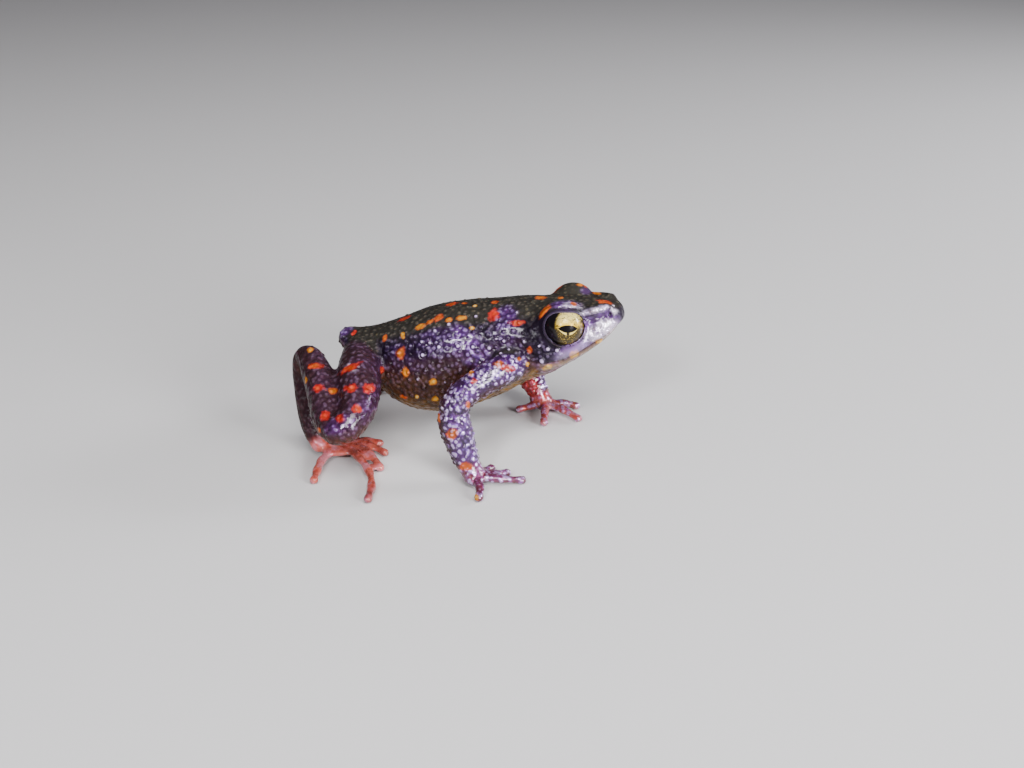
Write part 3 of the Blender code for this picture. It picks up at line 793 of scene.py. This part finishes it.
def distance_to_path(points, path, reach):
    """How far each point is from a line of close points, or reach where it is farther."""
    distances = np.full(len(points), reach)
    which, _, found = near_pairs(points, path, reach)
    np.minimum.at(distances, which, found)
    return distances


def ray_through(pixel):
    right, up = camera_axes()
    focal = PHOTO_SIZE[0] * CAMERA_LENS / CAMERA_SENSOR
    across = (pixel[0] - PHOTO_SIZE[0] / 2) / focal
    down = (pixel[1] - PHOTO_SIZE[1] / 2) / focal
    return (CAMERA_WAY + right * across - up * down).normalized()


def marking_sites(surface, markings):
    """Each marking as its place on the skin, its three half axes as rows of ways and lengths, and its hue."""
    right, up = camera_axes()
    sites = []
    for pixel, length, width, turn, hue in markings:
        way = ray_through(pixel)
        place = surface.ray_cast(CAMERA_PLACE, way)[0]
        if place is None:
            place = surface.find_nearest(CAMERA_PLACE + way * CAMERA_DISTANCE)[0]
        angle = math.radians(turn)
        along = right * math.cos(angle) + up * math.sin(angle)
        across = up * math.cos(angle) - right * math.sin(angle)
        half = (length / 2 / PIXELS_PER_MM, width / 2 / PIXELS_PER_MM)
        sizes = np.array((half[0], half[1], MARKING_DEPTH * max(half)))
        sites.append((np.array(place), np.array((along, across, CAMERA_WAY)), sizes, hue))
    return sites


def far_sites(surface, sites, turn, set_place, plain_place, rng):
    """Markings once more on the side that the photograph hides, a little changed."""
    flip = np.array(turn) @ np.diag((1, -1, 1)) @ np.array(turn).T
    made = []
    for place, ways, sizes, hue in sites:
        plain = plain_place(place)
        if plain.y > -MIDLINE_WIDTH:
            continue
        shifted = set_place(on_side("left", plain) + Vector(rng.normal(0, FAR_SHIFT, 3) * (1, 0.3, 1)))
        found = surface.find_nearest(shifted)[0]
        new_sizes = sizes * rng.uniform(*FAR_SIZES)
        new_hue = float(np.clip(hue + rng.normal(0, FAR_HUE_SHIFT), 0, 1))
        made.append((np.array(found), ways @ flip.T, new_sizes, new_hue))
    return made


def loose_sites(points, normals, allowed, sites, spacing, rng):
    """Oval markings at random on a part of the skin, clear of those that are there already."""
    rows = rng.permutation(np.flatnonzero(allowed))[:MARKING_CANDIDATES]
    kept = rows[spread_out(points[rows], np.full(len(rows), spacing), rng)]
    taken = np.array([site[0] for site in sites])
    made = []
    for row in kept:
        if np.linalg.norm(taken - points[row], axis=1).min() < spacing * 0.8:
            continue
        out = normals[row]
        along = np.cross(out, rng.normal(size=3))
        along /= np.linalg.norm(along)
        long_half = rng.uniform(*LOOSE_HALF_LENGTHS)
        sizes = np.array((long_half, long_half * rng.uniform(*LOOSE_WIDTHS), long_half))
        hue = float(rng.choice(LOOSE_HUES, p=LOOSE_HUE_SHARES))
        made.append((points[row], np.array((along, np.cross(out, along), out)), sizes, hue))
    return made


def painted(points, sites):
    """How deep each point lies in a marking: 1 at its middle, 0 at its edge, -1 far outside. And its hue."""
    depth = np.full(len(points), -1.0)
    hues = np.full(len(points), 0.3)
    for place, ways, sizes, hue in sites:
        near = np.flatnonzero(np.abs(points - place).max(1) < 2.2 * sizes.max())
        away = (points[near] - place) @ ways.T / sizes
        value = 1 - np.sqrt((away**2).sum(1))
        better = value > depth[near]
        depth[near[better]] = value[better]
        hues[near[better]] = hue
    return depth, hues


def wart_heights(points, places, radii, heights, pales):
    """What the warts raise, with a slight ring sunk round each: the rise, share of a dome and paleness."""
    reach = float(radii.max() * 1.5)
    which, whose, distance = near_pairs(points, places, reach)
    part = distance / radii[whose]
    dome = np.clip(1 - part**2, 0, 1) ** WART_ROUNDNESS
    share = np.zeros(len(points))
    rise = np.zeros(len(points))
    pale = np.zeros(len(points))
    sunk = np.zeros(len(points))
    np.maximum.at(share, which, dome)
    np.maximum.at(rise, which, dome * heights[whose])
    np.maximum.at(pale, which, dome * pales[whose])
    np.maximum.at(sunk, which, hump(part - SUNK_PLACE, SUNK_WIDTH) * heights[whose] * SUNK_DEPTH)
    return rise - sunk * (1 - share), share, pale


def unevenness(points, size, seed):
    """Soft noise from -1 to 1 over the skin, with features of this size in millimetres."""
    offset = Vector((seed * 17.3, seed * 7.1, seed * 3.7))
    return np.array([noise.noise(Vector(point) / size + offset) for point in points])


def add_values(mesh, **values):
    for name, array in values.items():
        attribute = mesh.attributes.new(name, "FLOAT", "POINT")
        attribute.data.foreach_set("value", array.astype(np.float32))


def zones_of(points, normals, ends):
    """What lies where on the skin: its kind, side and slope at each point, and how much of each colour."""
    # The node under each point, its side, and how the skin faces there
    number = node_of_each(points)
    kinds = np.array([KINDS.index(name.removesuffix("_right").removesuffix("_left")) for name in FLESH])
    kind = kinds[number]
    left = np.array([name.endswith("_left") for name in FLESH])[number]
    rise = np.where(kind == HEAD, normals @ np.array(HEAD_TURN)[:, 2], normals @ np.array(LEAN)[:, 2])
    outward = normals[:, 1] * np.where(left, 1, -1)
    ahead = normals[:, 0]
    arm = np.isin(kind, (UPPER_ARM, FOREARM))
    leg = np.isin(kind, (THIGH, SHANK, TARSUS))
    body = np.isin(kind, (TORSO, HEAD))

    # The dull back, the belly, and the brown of what faces down or back
    back = blurred(np.where(body, eased(rise, 0.42, 0.8), 0.3 * eased(rise, 0.2, 0.9) * leg), ends, 24)
    chin = (1 - eased(rise, -0.85, -0.4)) * (kind == HEAD)
    under = np.where(kind == TORSO, 1 - eased(rise, -0.8, -0.35), chin)
    belly = blurred(under, ends, 30)
    low = (kind == TORSO) * (1 - eased(rise, -0.2, 0.38)) + arm * (1 - eased(rise, -0.6, 0.1))
    low += leg * (0.25 + 0.75 * (1 - eased(rise, -0.5, 0.2)))
    low = np.maximum(low, arm * (1 - eased(ahead, -0.7, -0.1)) * 0.9)
    brown = blurred(np.clip(low, 0, 1), ends, 40)

    # The red of the arms' inner sides, the thighs' undersides and the left wrist
    inner = arm * eased(-outward, 0.15, 0.7) * (1 - eased(ahead, 0.25, 0.75))
    inner = np.maximum(inner, (kind == THIGH) * eased(-rise, 0.55, 0.95) * 0.7)
    wrist = (kind == HAND) * left * eased(points[:, 2], 1.4, 2.4)
    inner = np.maximum(inner, wrist * 0.9)
    red = blurred(inner.astype(float), ends, 16)

    # The jaw under the mouth, the flesh colour of hands and feet, the violet sheen, partly painted and weaker
    # where the skin faces down or back, and the white beads
    plain = (points - np.array(headed((0, 0, 0)))) @ np.array(HEAD_TURN)
    jaw = blurred((kind == HEAD) * (plain[:, 2] < mouth_height(plain[:, 0])) * 1.0, ends, 4)
    flesh = np.array(KIND_FLESH)[kind] + 0.60 * (kind == HAND) * left
    flesh = blurred(flesh + 0.12 * jaw, ends, 30)
    for index, name in enumerate(FLESH):
        if name.startswith("foot"):
            rows = number == index
            reach = np.linalg.norm(points[rows] - points[rows].mean(0), axis=1)
            flesh[rows] *= 1 - 0.4 * eased(reach / reach.max(), 0.55, 0.9)
    bright = np.array(KIND_SHEEN)[kind] * (1 - 0.8 * low) * (1 - 0.85 * leg * eased(-ahead, 0.1, 0.6))
    sheen = blurred(bright, ends, 50) * (1 - back)
    sheen = np.maximum(sheen, 0.4 * jaw)
    beads = blurred(np.array(KIND_BEADS)[kind] * (1 - 0.75 * np.clip(low, 0, 1)), ends, 30)
    beads = beads * (1 - 0.85 * back)
    return SimpleNamespace(
        kind=kind,
        left=left,
        rise=rise,
        back=back,
        belly=belly * (1 - 0.55 * jaw),
        brown=brown,
        red=red,
        flesh=flesh,
        sheen=sheen,
        beads=beads,
        head=(kind == HEAD).astype(float),
        jaw=jaw,
        plain=plain,
    )


def face_folds(surface, points, zones):
    """How far the mouth, lips, nostrils and the ridge before the eye push the skin out, and where each is."""
    to_mouth = distance_to_path(points, mouth_path(surface), 1.5)
    nostrils = np.array([surface.find_nearest(headed(on_side(side, NOSTRIL)))[0] for side in SIDES])
    to_nostril = distance_to_path(points, nostrils, 1.0)
    ridge, hollow = [], []
    for side in SIDES:
        ends = [np.array(on_side(side, place)) for place in CANTHUS]
        for first, second in zip(ends, ends[1:]):
            for share in np.linspace(0, 1, 12):
                place = Vector(first + (second - first) * share)
                ridge.append(surface.find_nearest(headed(place))[0])
                hollow.append(surface.find_nearest(headed(place + on_side(side, (0, -0.3, -0.75))))[0])
    to_ridge = distance_to_path(points, np.array(ridge), 1.2)
    to_hollow = distance_to_path(points, np.array(hollow), 1.2)
    seam = hump(to_mouth, SEAM_WIDTH)
    lip = hump(to_mouth - LIP_PLACE, LIP_WIDTH) * zones.head
    pit = hump(to_nostril, NOSTRIL_WIDTH)
    push = -SEAM_DEPTH * seam + (LIP_HEIGHT - 0.14 * zones.jaw) * lip - NOSTRIL_DEPTH * pit
    push += 0.06 * hump(to_nostril - 0.38, 0.16)
    push += RIDGE_HEIGHT * hump(to_ridge, RIDGE_WIDTH) - RIDGE_HEIGHT * hump(to_hollow, HOLLOW_WIDTH)
    bare = (to_mouth < 0.45) | (to_nostril < 0.6) | (to_ridge < 0.4)
    # Beside the push: painted shade in the mouth's seam and the nostrils' pits, the lip, the ridge's line,
    # where a highlight is painted, and where the skin stays bare
    return push, np.clip(seam * 0.7 + pit * 1.3, 0, 1), np.clip(lip, 0, 1), hump(to_ridge, 0.2), bare


def tubercles(surface, points, zones, bare, rng):
    """Round warts set on the skin where it has them, as the rise, dome and paleness that they give it."""
    spacing = np.array(KIND_SPACING)[zones.kind]
    spacing = np.where((zones.kind == TORSO) & (zones.rise > 0.6), 0.75, spacing)
    spacing = np.where((zones.kind == TORSO) & (zones.rise < -0.5), 0.7, spacing)
    candidates = np.flatnonzero(~bare & (np.array(KIND_HEIGHT)[zones.kind] > 0))
    candidates = rng.permutation(candidates)[:WART_CANDIDATES]
    rows = candidates[spread_out(points[candidates], spacing[candidates], rng)]
    kind = zones.kind[rows]
    large = rng.uniform(0, 1, len(rows)) ** 2
    radii = np.array(KIND_RADIUS)[kind] * (0.65 + 0.6 * large)
    heights = np.array(KIND_HEIGHT)[kind] * (0.5 + 0.7 * large)
    radii *= 1 - 0.3 * zones.back[rows]
    heights *= (1 - 0.6 * zones.back[rows]) * (1 - 0.6 * zones.belly[rows])
    # Each tubercle tip's paleness: partly its own colour, partly a painted highlight
    pales = (0.1 + 0.4 * large) * (1 - 0.8 * zones.back[rows]) * (0.15 + 0.85 * zones.beads[rows])
    white = [surface.ray_cast(CAMERA_PLACE, ray_through(pixel))[0] for pixel, _ in WHITE_WARTS]
    places = np.concatenate((points[rows], np.array(white)))
    radii = np.concatenate((radii, [size / 2 / PIXELS_PER_MM for _, size in WHITE_WARTS]))
    heights = np.concatenate((heights, np.full(len(white), WHITE_WART_HEIGHT)))
    return wart_heights(points, places, radii, heights, np.concatenate((pales, np.full(len(white), 1.0))))


def all_markings(surface, points, normals, zones, rng):
    """The photograph's markings, those of the trunk and head mirrored, and loose ones where it shows none."""
    trunk_sites = marking_sites(surface, TRUNK_MARKINGS)
    head_sites = marking_sites(surface, HEAD_MARKINGS)
    sites = trunk_sites + head_sites + marking_sites(surface, LIMB_MARKINGS)
    sites += far_sites(surface, trunk_sites, LEAN, leaned, unleaned, rng)
    sites += far_sites(surface, head_sites, HEAD_TURN, headed, unheaded, rng)
    away = normals @ np.array(CAMERA_WAY)
    striped = np.isin(zones.kind, (UPPER_ARM, FOREARM, THIGH, SHANK, TARSUS))
    hidden = striped & ((away > 0.15) | zones.left)
    sites += loose_sites(points, normals, hidden, sites, LIMB_MARKING_GAP, rng)
    flank = (zones.kind == TORSO) & (away > 0.1) & (zones.rise < 0.4) & (zones.rise > -0.6)
    sites += loose_sites(points, normals, flank, sites, FLANK_MARKING_GAP, rng)
    return painted(points, sites)


def patches_on(surface, points, patches):
    """How much of some patches of the near side, and of their like on the far side, lies at each point."""
    sites = marking_sites(surface, patches)
    sites += far_sites(surface, sites, LEAN, leaned, unleaned, np.random.default_rng(PATCH_SEED))
    depth, strength = painted(points, sites)
    return eased(depth, -0.1, 0.5) * strength


def dressed_skin(settings):
    """The skin's mesh with its folds, warts and markings, in the toad's frame."""
    rng = np.random.default_rng(SKIN_SEED)
    mesh = base_skin(settings.fineness / MM)
    points = read_points(mesh)
    lid, fold = np.zeros(len(points)), np.zeros(len(points))
    for side in SIDES:
        points, edge, groove = open_lids(points, side)
        lid = np.maximum(lid, edge)
        fold = np.maximum(fold, groove)
    write_points(mesh, points)
    normals = read_normals(mesh)
    surface = surface_of(mesh)
    ends = edges_of(mesh)
    zones = zones_of(points, normals, ends)

    to_eyes = [np.linalg.norm(points - np.array(eye_place(side)), axis=1) for side in SIDES]
    eye_gap = np.minimum(*to_eyes)
    near_eye = 1 - eased(eye_gap, *EYE_SURROUND)
    push, dark, lip, ridge, bare = face_folds(surface, points, zones)
    smooth_snout = (zones.head > 0) & (zones.plain[:, 0] > 11.8) & (zones.rise < 0.55)
    raised, dome, pale = tubercles(surface, points, zones, bare | (near_eye > 0.3) | smooth_snout, rng)
    marking, hue = all_markings(surface, points, normals, zones, rng)
    marking -= 1.5 * (1 - eased(eye_gap, EYE_RADIUS + 0.15, EYE_RADIUS + 0.5))
    swollen = 0.07 * np.clip(marking, 0, 1) ** 0.7 * eased(hue, 0.4, 0.6)
    push += raised + swollen + 0.05 * unevenness(points, 2.2, 1) * (1 - near_eye)
    tables = (VIOLET_SHEEN_PATCHES, PAINTED_HIGHLIGHT_PATCHES, DARK_PATCHES)
    violet, gleam, shade = (patches_on(surface, points, patches) for patches in tables)
    # The sheen, partly painted, is strongest in the violet patches and weaker in the nearly black ones
    sheen = np.maximum(zones.sheen, violet) * (1 - 0.8 * shade)
    back = zones.back * (1 - 0.8 * violet)
    granular = (1 - blurred(smooth_snout.astype(float), ends, 12)) * (1 - near_eye)
    beads = np.maximum(zones.beads, 0.26 * violet) * granular * (1 - shade)
    points = points + normals * push[:, None]
    points[:, 2] = np.maximum(points[:, 2], FLOOR_CLEARANCE)
    write_points(mesh, points)

    add_values(mesh, marking=marking, hue=hue, wart=dome, pale=pale, back=back)
    add_values(mesh, belly=zones.belly * (1 - near_eye), sheen=sheen, brown=zones.brown, red=zones.red)
    # dark: painted shade in the mouth's seam, the nostrils' pits and the lids' folds
    add_values(mesh, flesh=zones.flesh, beads=beads, lid=lid, dark=np.maximum(dark, 0.75 * fold))
    add_values(mesh, lip=lip, ridge=ridge, face=zones.head * near_eye, jaw=zones.jaw)
    add_values(mesh, gleam=gleam, shade=shade, granular=granular)
    share = settings.triangles / (2 * len(mesh.polygons))
    if share < 1:
        mesh = modified(mesh, (("DECIMATE", {"ratio": share, "use_collapse_triangulate": True}),))
    return mesh


def skin_paint(settings):
    """Wet skin: near-black ground with a violet sheen, partly painted, dull back, white beads, and red to
    cream markings. The pale tips of beads and tubercles are partly painted highlight; the wettest places,
    lips and ridges carry painted highlights, and creases painted shade.
    """
    paint = Paint(
        "wet_toad_skin",
        IOR=1.34,
        Specular_IOR_Level=0.18,
        Coat_IOR=1.6,
        Coat_Roughness=0.15,
        Subsurface_Weight=0.05,
        Subsurface_Scale=0.0005,
    )
    wart, pale, back, belly = (paint.attribute(name) for name in ("wart", "pale", "back", "belly"))
    sheen, brown, red, flesh = (paint.attribute(name) for name in ("sheen", "brown", "red", "flesh"))
    lid, dark, lip, ridge = (paint.attribute(name) for name in ("lid", "dark", "lip", "ridge"))
    face, white, jaw = paint.attribute("face"), paint.attribute("beads"), paint.attribute("jaw")
    gleam, shade, granular = (paint.attribute(name) for name in ("gleam", "shade", "granular"))
    cloud = paint.grain(1.5, 3.0)
    patches = paint.grain(0.75, 2.0)
    fine = paint.grain(0.16, 2.0)
    cells = paint.granules(0.5)
    bead = cells.step(0.6, 0.14)
    domes = 1 - (cells / 0.62) ** 2
    ragged = paint.grain(0.6, 2.0, 0.5)

    # The large areas of colour, each over the one before
    # The violet is partly the skin's own colour and partly painted sheen
    colour = paint.mix(settings.ground, settings.sheen, sheen * (0.25 + 0.75 * cloud.step(0.3, 0.65)))
    colour = paint.mix(colour, settings.brown, brown * (0.55 + 0.45 * patches.step(0.3, 0.6)))
    colour = paint.mix(colour, settings.back, back * (0.75 + 0.25 * bead))
    colour = paint.mix(colour, settings.ground, shade * 0.85)
    colour = paint.mix(colour, settings.belly, belly * (0.3 + 0.7 * cloud.step(0.35, 0.6)))
    colour = paint.mix(colour, settings.flesh, flesh)
    colour = paint.mix(colour, settings.red, flesh * patches.step(0.5, 0.3) * 0.4)
    # Pale blotches on the flesh of hands and feet: a painted highlight
    colour = paint.mix(colour, settings.pearl_and_highlight, flesh * cloud.step(0.5, 0.65) * 0.16)
    colour = paint.mix(colour, settings.cream, back * bead.step(0.4, 1.0) * fine.step(0.35, 0.65) * 0.06)
    colour = paint.mix(colour, settings.brown, flesh * cloud.step(0.52, 0.3) * 0.6)
    colour = paint.mix(colour, settings.red, red * (0.75 + 0.25 * patches.step(0.3, 0.6)))
    shown = white * bead.step(0.35, 0.85) * patches.step(0.36, 0.48) * (1 - 0.5 * flesh) * (1 - 0.85 * red)

    # The markings, ragged at their edges and redder towards them
    depth = paint.attribute("marking") + (ragged - 0.5) * 1.1 + (fine - 0.5) * 0.3
    stops = ((0.0, settings.red), (0.5, settings.orange), (0.78, settings.yellow), (1.0, settings.cream))
    hue = paint.attribute("hue") + (patches - 0.5) * 0.3 - 0.2 * (1 - depth.step(0.15, 0.8))
    marked = paint.node("ShaderNodeValToRGB", {"Fac": hue}, stops=stops)
    spot = depth.step(-0.05, 0.45)
    colour = paint.mix(colour, marked, spot * 0.96)

    # The dark between the granules, then the lilac of granules and the pale of granules, tubercles, lips and
    # ridges.
    # On granules and tubercles the pale is partly their own colour and partly painted highlight; on the
    # wettest places, the upper lip and the ridges it is a painted highlight. Last, painted shade in the
    # creases
    between = (1 - bead) * 0.55 * (1 - face) * (1 - flesh * 0.7) * (1 - back * 0.5) * (1 - brown * 0.5)
    colour = paint.mix(colour, settings.ground, between)
    tinted = sheen * bead * (0.15 + 0.35 * white) * (1 - spot) * (1 - 0.9 * red)
    colour = paint.mix(colour, settings.lilac, tinted)
    # A painted highlight on the wettest places, broken up over granular skin
    painted_highlight_share = gleam * (0.3 + 0.6 * ragged.step(0.38, 0.52)) * (1 - spot)
    painted_highlight_share = painted_highlight_share * (1 - granular * (1 - bead.step(0.25, 0.7)))
    colour = paint.mix(colour, settings.painted_highlight, painted_highlight_share)
    # Pale tips of the white granules: partly their own colour, partly painted glints
    colour = paint.mix(colour, settings.pearl_and_highlight, shown * 0.85 * (1 - spot * 0.7))
    # Pale tips of the tubercles: partly their own colour, partly painted highlight
    tipped = pale * wart.step(0.3, 0.95) * (0.8 - 0.5 * brown) * (1 - 0.8 * red)
    colour = paint.mix(colour, settings.pearl_and_highlight, tipped)
    colour = paint.mix(colour, settings.cream, lip * jaw * 0.16)
    # A painted highlight on the upper lip
    colour = paint.mix(colour, settings.pearl_and_highlight, lip * (1 - jaw) * sheen * 0.3)
    # A painted highlight along the ridge before the eye
    colour = paint.mix(colour, settings.pearl_and_highlight, ridge * (0.3 + 0.6 * patches.step(0.4, 0.6)))
    colour = paint.mix(colour, settings.pearl_and_highlight, lid * 0.08)
    # Painted shade in the mouth's seam, the nostrils' pits and the lids' folds
    colour = paint.mix(colour, settings.ground, dark * 0.9)

    # The finish: roughness, wetness, a pearly metallic shine and the relief of the granules
    rough = (0.28 + 0.36 * back + 0.14 * fine - 0.08 * flesh - 0.1 * (ridge + gleam)).least(0.8)
    wet = (0.06 + 0.9 * sheen + 0.9 * flesh + 0.5 * pale) * (1 - 0.85 * back) * (1 - 0.65 * spot)
    pearly = (0.6 * shown + 0.34 * sheen + 0.3 * (ridge + gleam)) * (1 - back) * (1 - spot) * (1 - dark)
    relief = paint.bump(domes, 0.12, 0.9 - 0.8 * face - 0.3 * back - 0.5 * flesh)
    normal = paint.bump(fine, 0.010, 0.5, relief)
    paint.feed(Base_Color=colour, Roughness=rough, Metallic=pearly, Normal=normal)
    paint.feed(Coat_Weight=wet.most(0.03).least(1.0))
    return paint.material


def eye_mesh(side, settings):
    """A globe that bulges in front, its rings centred on the way it looks, with its own flat coordinates."""
    ahead, up, out = eye_axes(side)
    place = eye_place(side)
    rings, spokes = EYE_RINGS, EYE_SPOKES
    points, faces, across_all, up_all, out_all = [], [], [], [], []
    for i in range(rings + 1):
        tilt = math.pi * (i / rings) ** RING_CROWDING
        bulge = settings.bulge / MM * float(1 - eased(math.degrees(tilt), *BULGE_FADE))
        radius = EYE_RADIUS + bulge
        count = 1 if i in (0, rings) else spokes
        for j in range(count):
            turn = 2 * math.pi * j / spokes
            flat = ahead * math.cos(turn) + up * math.sin(turn)
            way = out * math.cos(tilt) + flat * math.sin(tilt)
            points.append(place + way * radius)
            across_all.append(way.dot(ahead))
            up_all.append(way.dot(up))
            out_all.append(way.dot(out))
    first = 1
    for j in range(spokes):
        faces.append((0, first + j, first + (j + 1) % spokes))
    for i in range(1, rings - 1):
        start = 1 + (i - 1) * spokes
        for j in range(spokes):
            k = (j + 1) % spokes
            faces.append((start + j, start + spokes + j, start + spokes + k, start + k))
    start, last = 1 + (rings - 2) * spokes, len(points) - 1
    for j in range(spokes):
        faces.append((start + j, last, start + (j + 1) % spokes))
    if (up.cross(out)).dot(ahead) < 0:
        faces = [face[::-1] for face in faces]
    mesh = bpy.data.meshes.new(f"eye_{side}")
    mesh.from_pydata([point * MM + TOAD_ORIGIN for point in points], [], faces)
    add_values(mesh, across=np.array(across_all), level=np.array(up_all), facing=np.array(out_all))
    return mesh


def eye_paint(settings):
    """Pale gold above, palest at the top partly by a painted highlight, dark below with gold flecks and
    crescents, black veins, and a level pupil.
    """
    paint = Paint("gold_eye", Coat_Roughness=0.02, Coat_IOR=1.33, IOR=1.34, Specular_IOR_Level=0.1)
    u, v = paint.attribute("across"), paint.attribute("level")
    black = settings.black
    streaks = paint.grain(0.55, 4.0, 0.6)
    marbling = paint.grain(0.3, 3.0, 0.6)
    flecks = paint.grain(0.13, 3.0, 0.6)
    from_pupil = u - PUPIL_PLACE[0]
    over_pupil = v - PUPIL_PLACE[1]
    reach = (from_pupil / PUPIL_HALF_WIDTH).size()
    top = PUPIL_TOP * (1 - reach**2.6)
    bottom = PUPIL_BOTTOM * (1 - reach**2.0)
    pupil = (top - over_pupil).least(over_pupil + bottom)
    iris = ((u - IRIS_PLACE[0]) ** 2 + (v - IRIS_PLACE[1]) ** 2) ** 0.5

    gold = (over_pupil + (streaks - 0.5) * 0.12).step(-0.03, 0.06)
    # The iris grows paler towards its top, partly a painted highlight
    bright = paint.mix(settings.gold, settings.straw_and_highlight, over_pupil.step(0.12, 0.55) * (0.4 + 0.6 * marbling))
    colour = paint.mix(settings.amber, bright, gold)
    colour = paint.mix(colour, settings.gold, (1 - gold) * flecks.step(0.54, 0.64) * 0.6)
    crescent = (pupil + (1.25 - reach) * 0.12).step(0, 0.03) * (1 - gold) * reach.step(0.08, 0.2)
    colour = paint.mix(colour, paint.mix(settings.gold, settings.straw_and_highlight, 0.45), crescent)
    notch = from_pupil.size().step(0.09, 0.03) * over_pupil.step(-0.1, -0.2) * over_pupil.step(-0.30, -0.24)
    colour = paint.mix(colour, black, notch * 0.85)
    outer = (u**2 + v**2) ** 0.5
    edge = outer.step(0.3, 0.75) * (0.35 + 0.65 * u.step(0.1, 0.5)) * over_pupil.step(0.75, 0.3)
    colour = paint.mix(colour, settings.amber, edge * marbling.step(0.42, 0.54))
    veins = (streaks - 0.5).size().step(0.035, 0.008)
    colour = paint.mix(colour, black, veins * 0.85 * outer.step(0.1, 0.35) * over_pupil.step(-0.3, 0.2))
    colour = paint.mix(colour, black, pupil.step(-0.014, 0.010))
    rim = (iris + (marbling - 0.5) * 0.08).step(IRIS_RADIUS - 0.12, IRIS_RADIUS + 0.04)
    rear = u.step(-0.2, -0.45)
    colour = paint.mix(colour, paint.mix(settings.amber, black, rear), rim)
    paint.feed(Base_Color=colour, Roughness=0.28 + 0.2 * flecks, Metallic=0.3 * (1 - rim) * gold)
    paint.feed(Coat_Weight=1 - 0.95 * pupil.step(-0.03, 0.0))
    return paint.material


def finish_piece(obj, nodes, material):
    """Hangs a piece on the model's one body, in place of the solids that it covers."""
    obj.data.materials.append(material)
    obj.data.shade_smooth()
    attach(obj, "root")
    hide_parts(*nodes)


class ToadSkin(bpy.types.Operator):
    """Builds the one skin over the toad's flesh."""

    bl_idname = "toad.skin"
    bl_label = "Skin"

    def execute(self, context):
        settings = context.scene.toad_skin
        mesh = dressed_skin(settings)
        write_points(mesh, read_points(mesh) * MM + np.array(TOAD_ORIGIN))
        finish_piece(object_of("skin", mesh), FLESH, skin_paint(settings))
        return {"FINISHED"}


class ToadEyes(bpy.types.Operator):
    """Builds both eyes."""

    bl_idname = "toad.eyes"
    bl_label = "Eyes"

    def execute(self, context):
        settings = context.scene.toad_eyes
        material = eye_paint(settings)
        for side in SIDES:
            eye = object_of(f"globe_{side}", eye_mesh(side, settings))
            finish_piece(eye, [f"eye_{side}"], material)
        return {"FINISHED"}


def area_light(name, place, size, power, colour, spread):
    """A square light at a place in millimetres that faces the toad."""
    light = bpy.data.lights.new(name, "AREA")
    light.size = size
    light.energy = power
    light.color = colour
    light.spread = math.radians(spread)
    obj = object_of(name, light)
    obj.location = TOAD_ORIGIN + Vector(place) * MM
    obj.rotation_euler = (LIT_PLACE - Vector(place)).to_track_quat("-Z", "Y").to_euler()


class ToadStage(bpy.types.Operator):
    """Sets the floor, the light and the camera."""

    bl_idname = "toad.stage"
    bl_label = "Stage"

    def execute(self, context):
        settings = context.scene.toad_stage
        self.floor(settings)
        self.light(context.scene, settings)
        self.camera(context.scene)
        return {"FINISHED"}

    def floor(self, settings):
        radius = settings.floor_reach
        bpy.ops.mesh.primitive_circle_add(vertices=FLOOR_CORNERS, radius=radius, fill_type="NGON")
        floor = bpy.context.object
        floor.name = "floor"
        paint = Paint("pale_floor", Roughness=1.0, Specular_IOR_Level=0.0)
        paint.feed(Base_Color=settings.floor)
        floor.data.materials.append(paint.material)

    def light(self, scene, settings):
        world = bpy.data.worlds.new("studio")
        world.use_nodes = True
        background = world.node_tree.nodes["Background"]
        background.inputs["Color"].default_value = STUDIO_TINT
        background.inputs["Strength"].default_value = settings.surroundings
        scene.world = world
        for name, place, size, setting, share, colour, spread in LIGHTS:
            area_light(name, place, size, getattr(settings, setting) * share, colour, spread)

    def camera(self, scene):
        data = bpy.data.cameras.new("camera")
        data.lens = CAMERA_LENS
        data.sensor_width = CAMERA_SENSOR
        data.clip_start = CAMERA_NEAR
        camera = object_of("camera", data)
        camera.location = TOAD_ORIGIN + CAMERA_PLACE * MM
        camera.rotation_euler = CAMERA_WAY.to_track_quat("-Z", "Y").to_euler()
        scene.camera = camera


class ToadPanel(bpy.types.Panel):
    """The toad's pieces, its stage and their settings."""

    bl_idname = "VIEW3D_PT_toad"
    bl_label = "Bleeding toad"
    bl_space_type = "VIEW_3D"
    bl_region_type = "UI"
    bl_category = "Toad"

    def draw(self, context):
        layout = self.layout
        for operator, group in OPERATORS:
            layout.operator(operator.bl_idname)
            settings = getattr(context.scene, group)
            for name in settings.bl_rna.properties.keys():
                if name not in ("rna_type", "name"):
                    layout.prop(settings, name)


GROUPS = {"toad_skin": ToadSkinSettings, "toad_eyes": ToadEyeSettings, "toad_stage": ToadStageSettings}
OPERATORS = ((ToadStage, "toad_stage"), (ToadSkin, "toad_skin"), (ToadEyes, "toad_eyes"))


def register():
    for name, group in GROUPS.items():
        bpy.utils.register_class(group)
        setattr(bpy.types.Scene, name, PointerProperty(type=group))
    for operator, _ in OPERATORS:
        bpy.utils.register_class(operator)
    bpy.utils.register_class(ToadPanel)


def unregister():
    bpy.utils.unregister_class(ToadPanel)
    for operator, _ in OPERATORS:
        bpy.utils.unregister_class(operator)
    for name, group in GROUPS.items():
        delattr(bpy.types.Scene, name)
        bpy.utils.unregister_class(group)


def write_sizes():
    """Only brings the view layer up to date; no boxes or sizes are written."""
    bpy.context.view_layer.update()


def main():
    register()
    bpy.ops.toad.stage()
    bpy.ops.toad.skin()
    bpy.ops.toad.eyes()
    write_sizes()


if __name__ == "__main__":
    main()
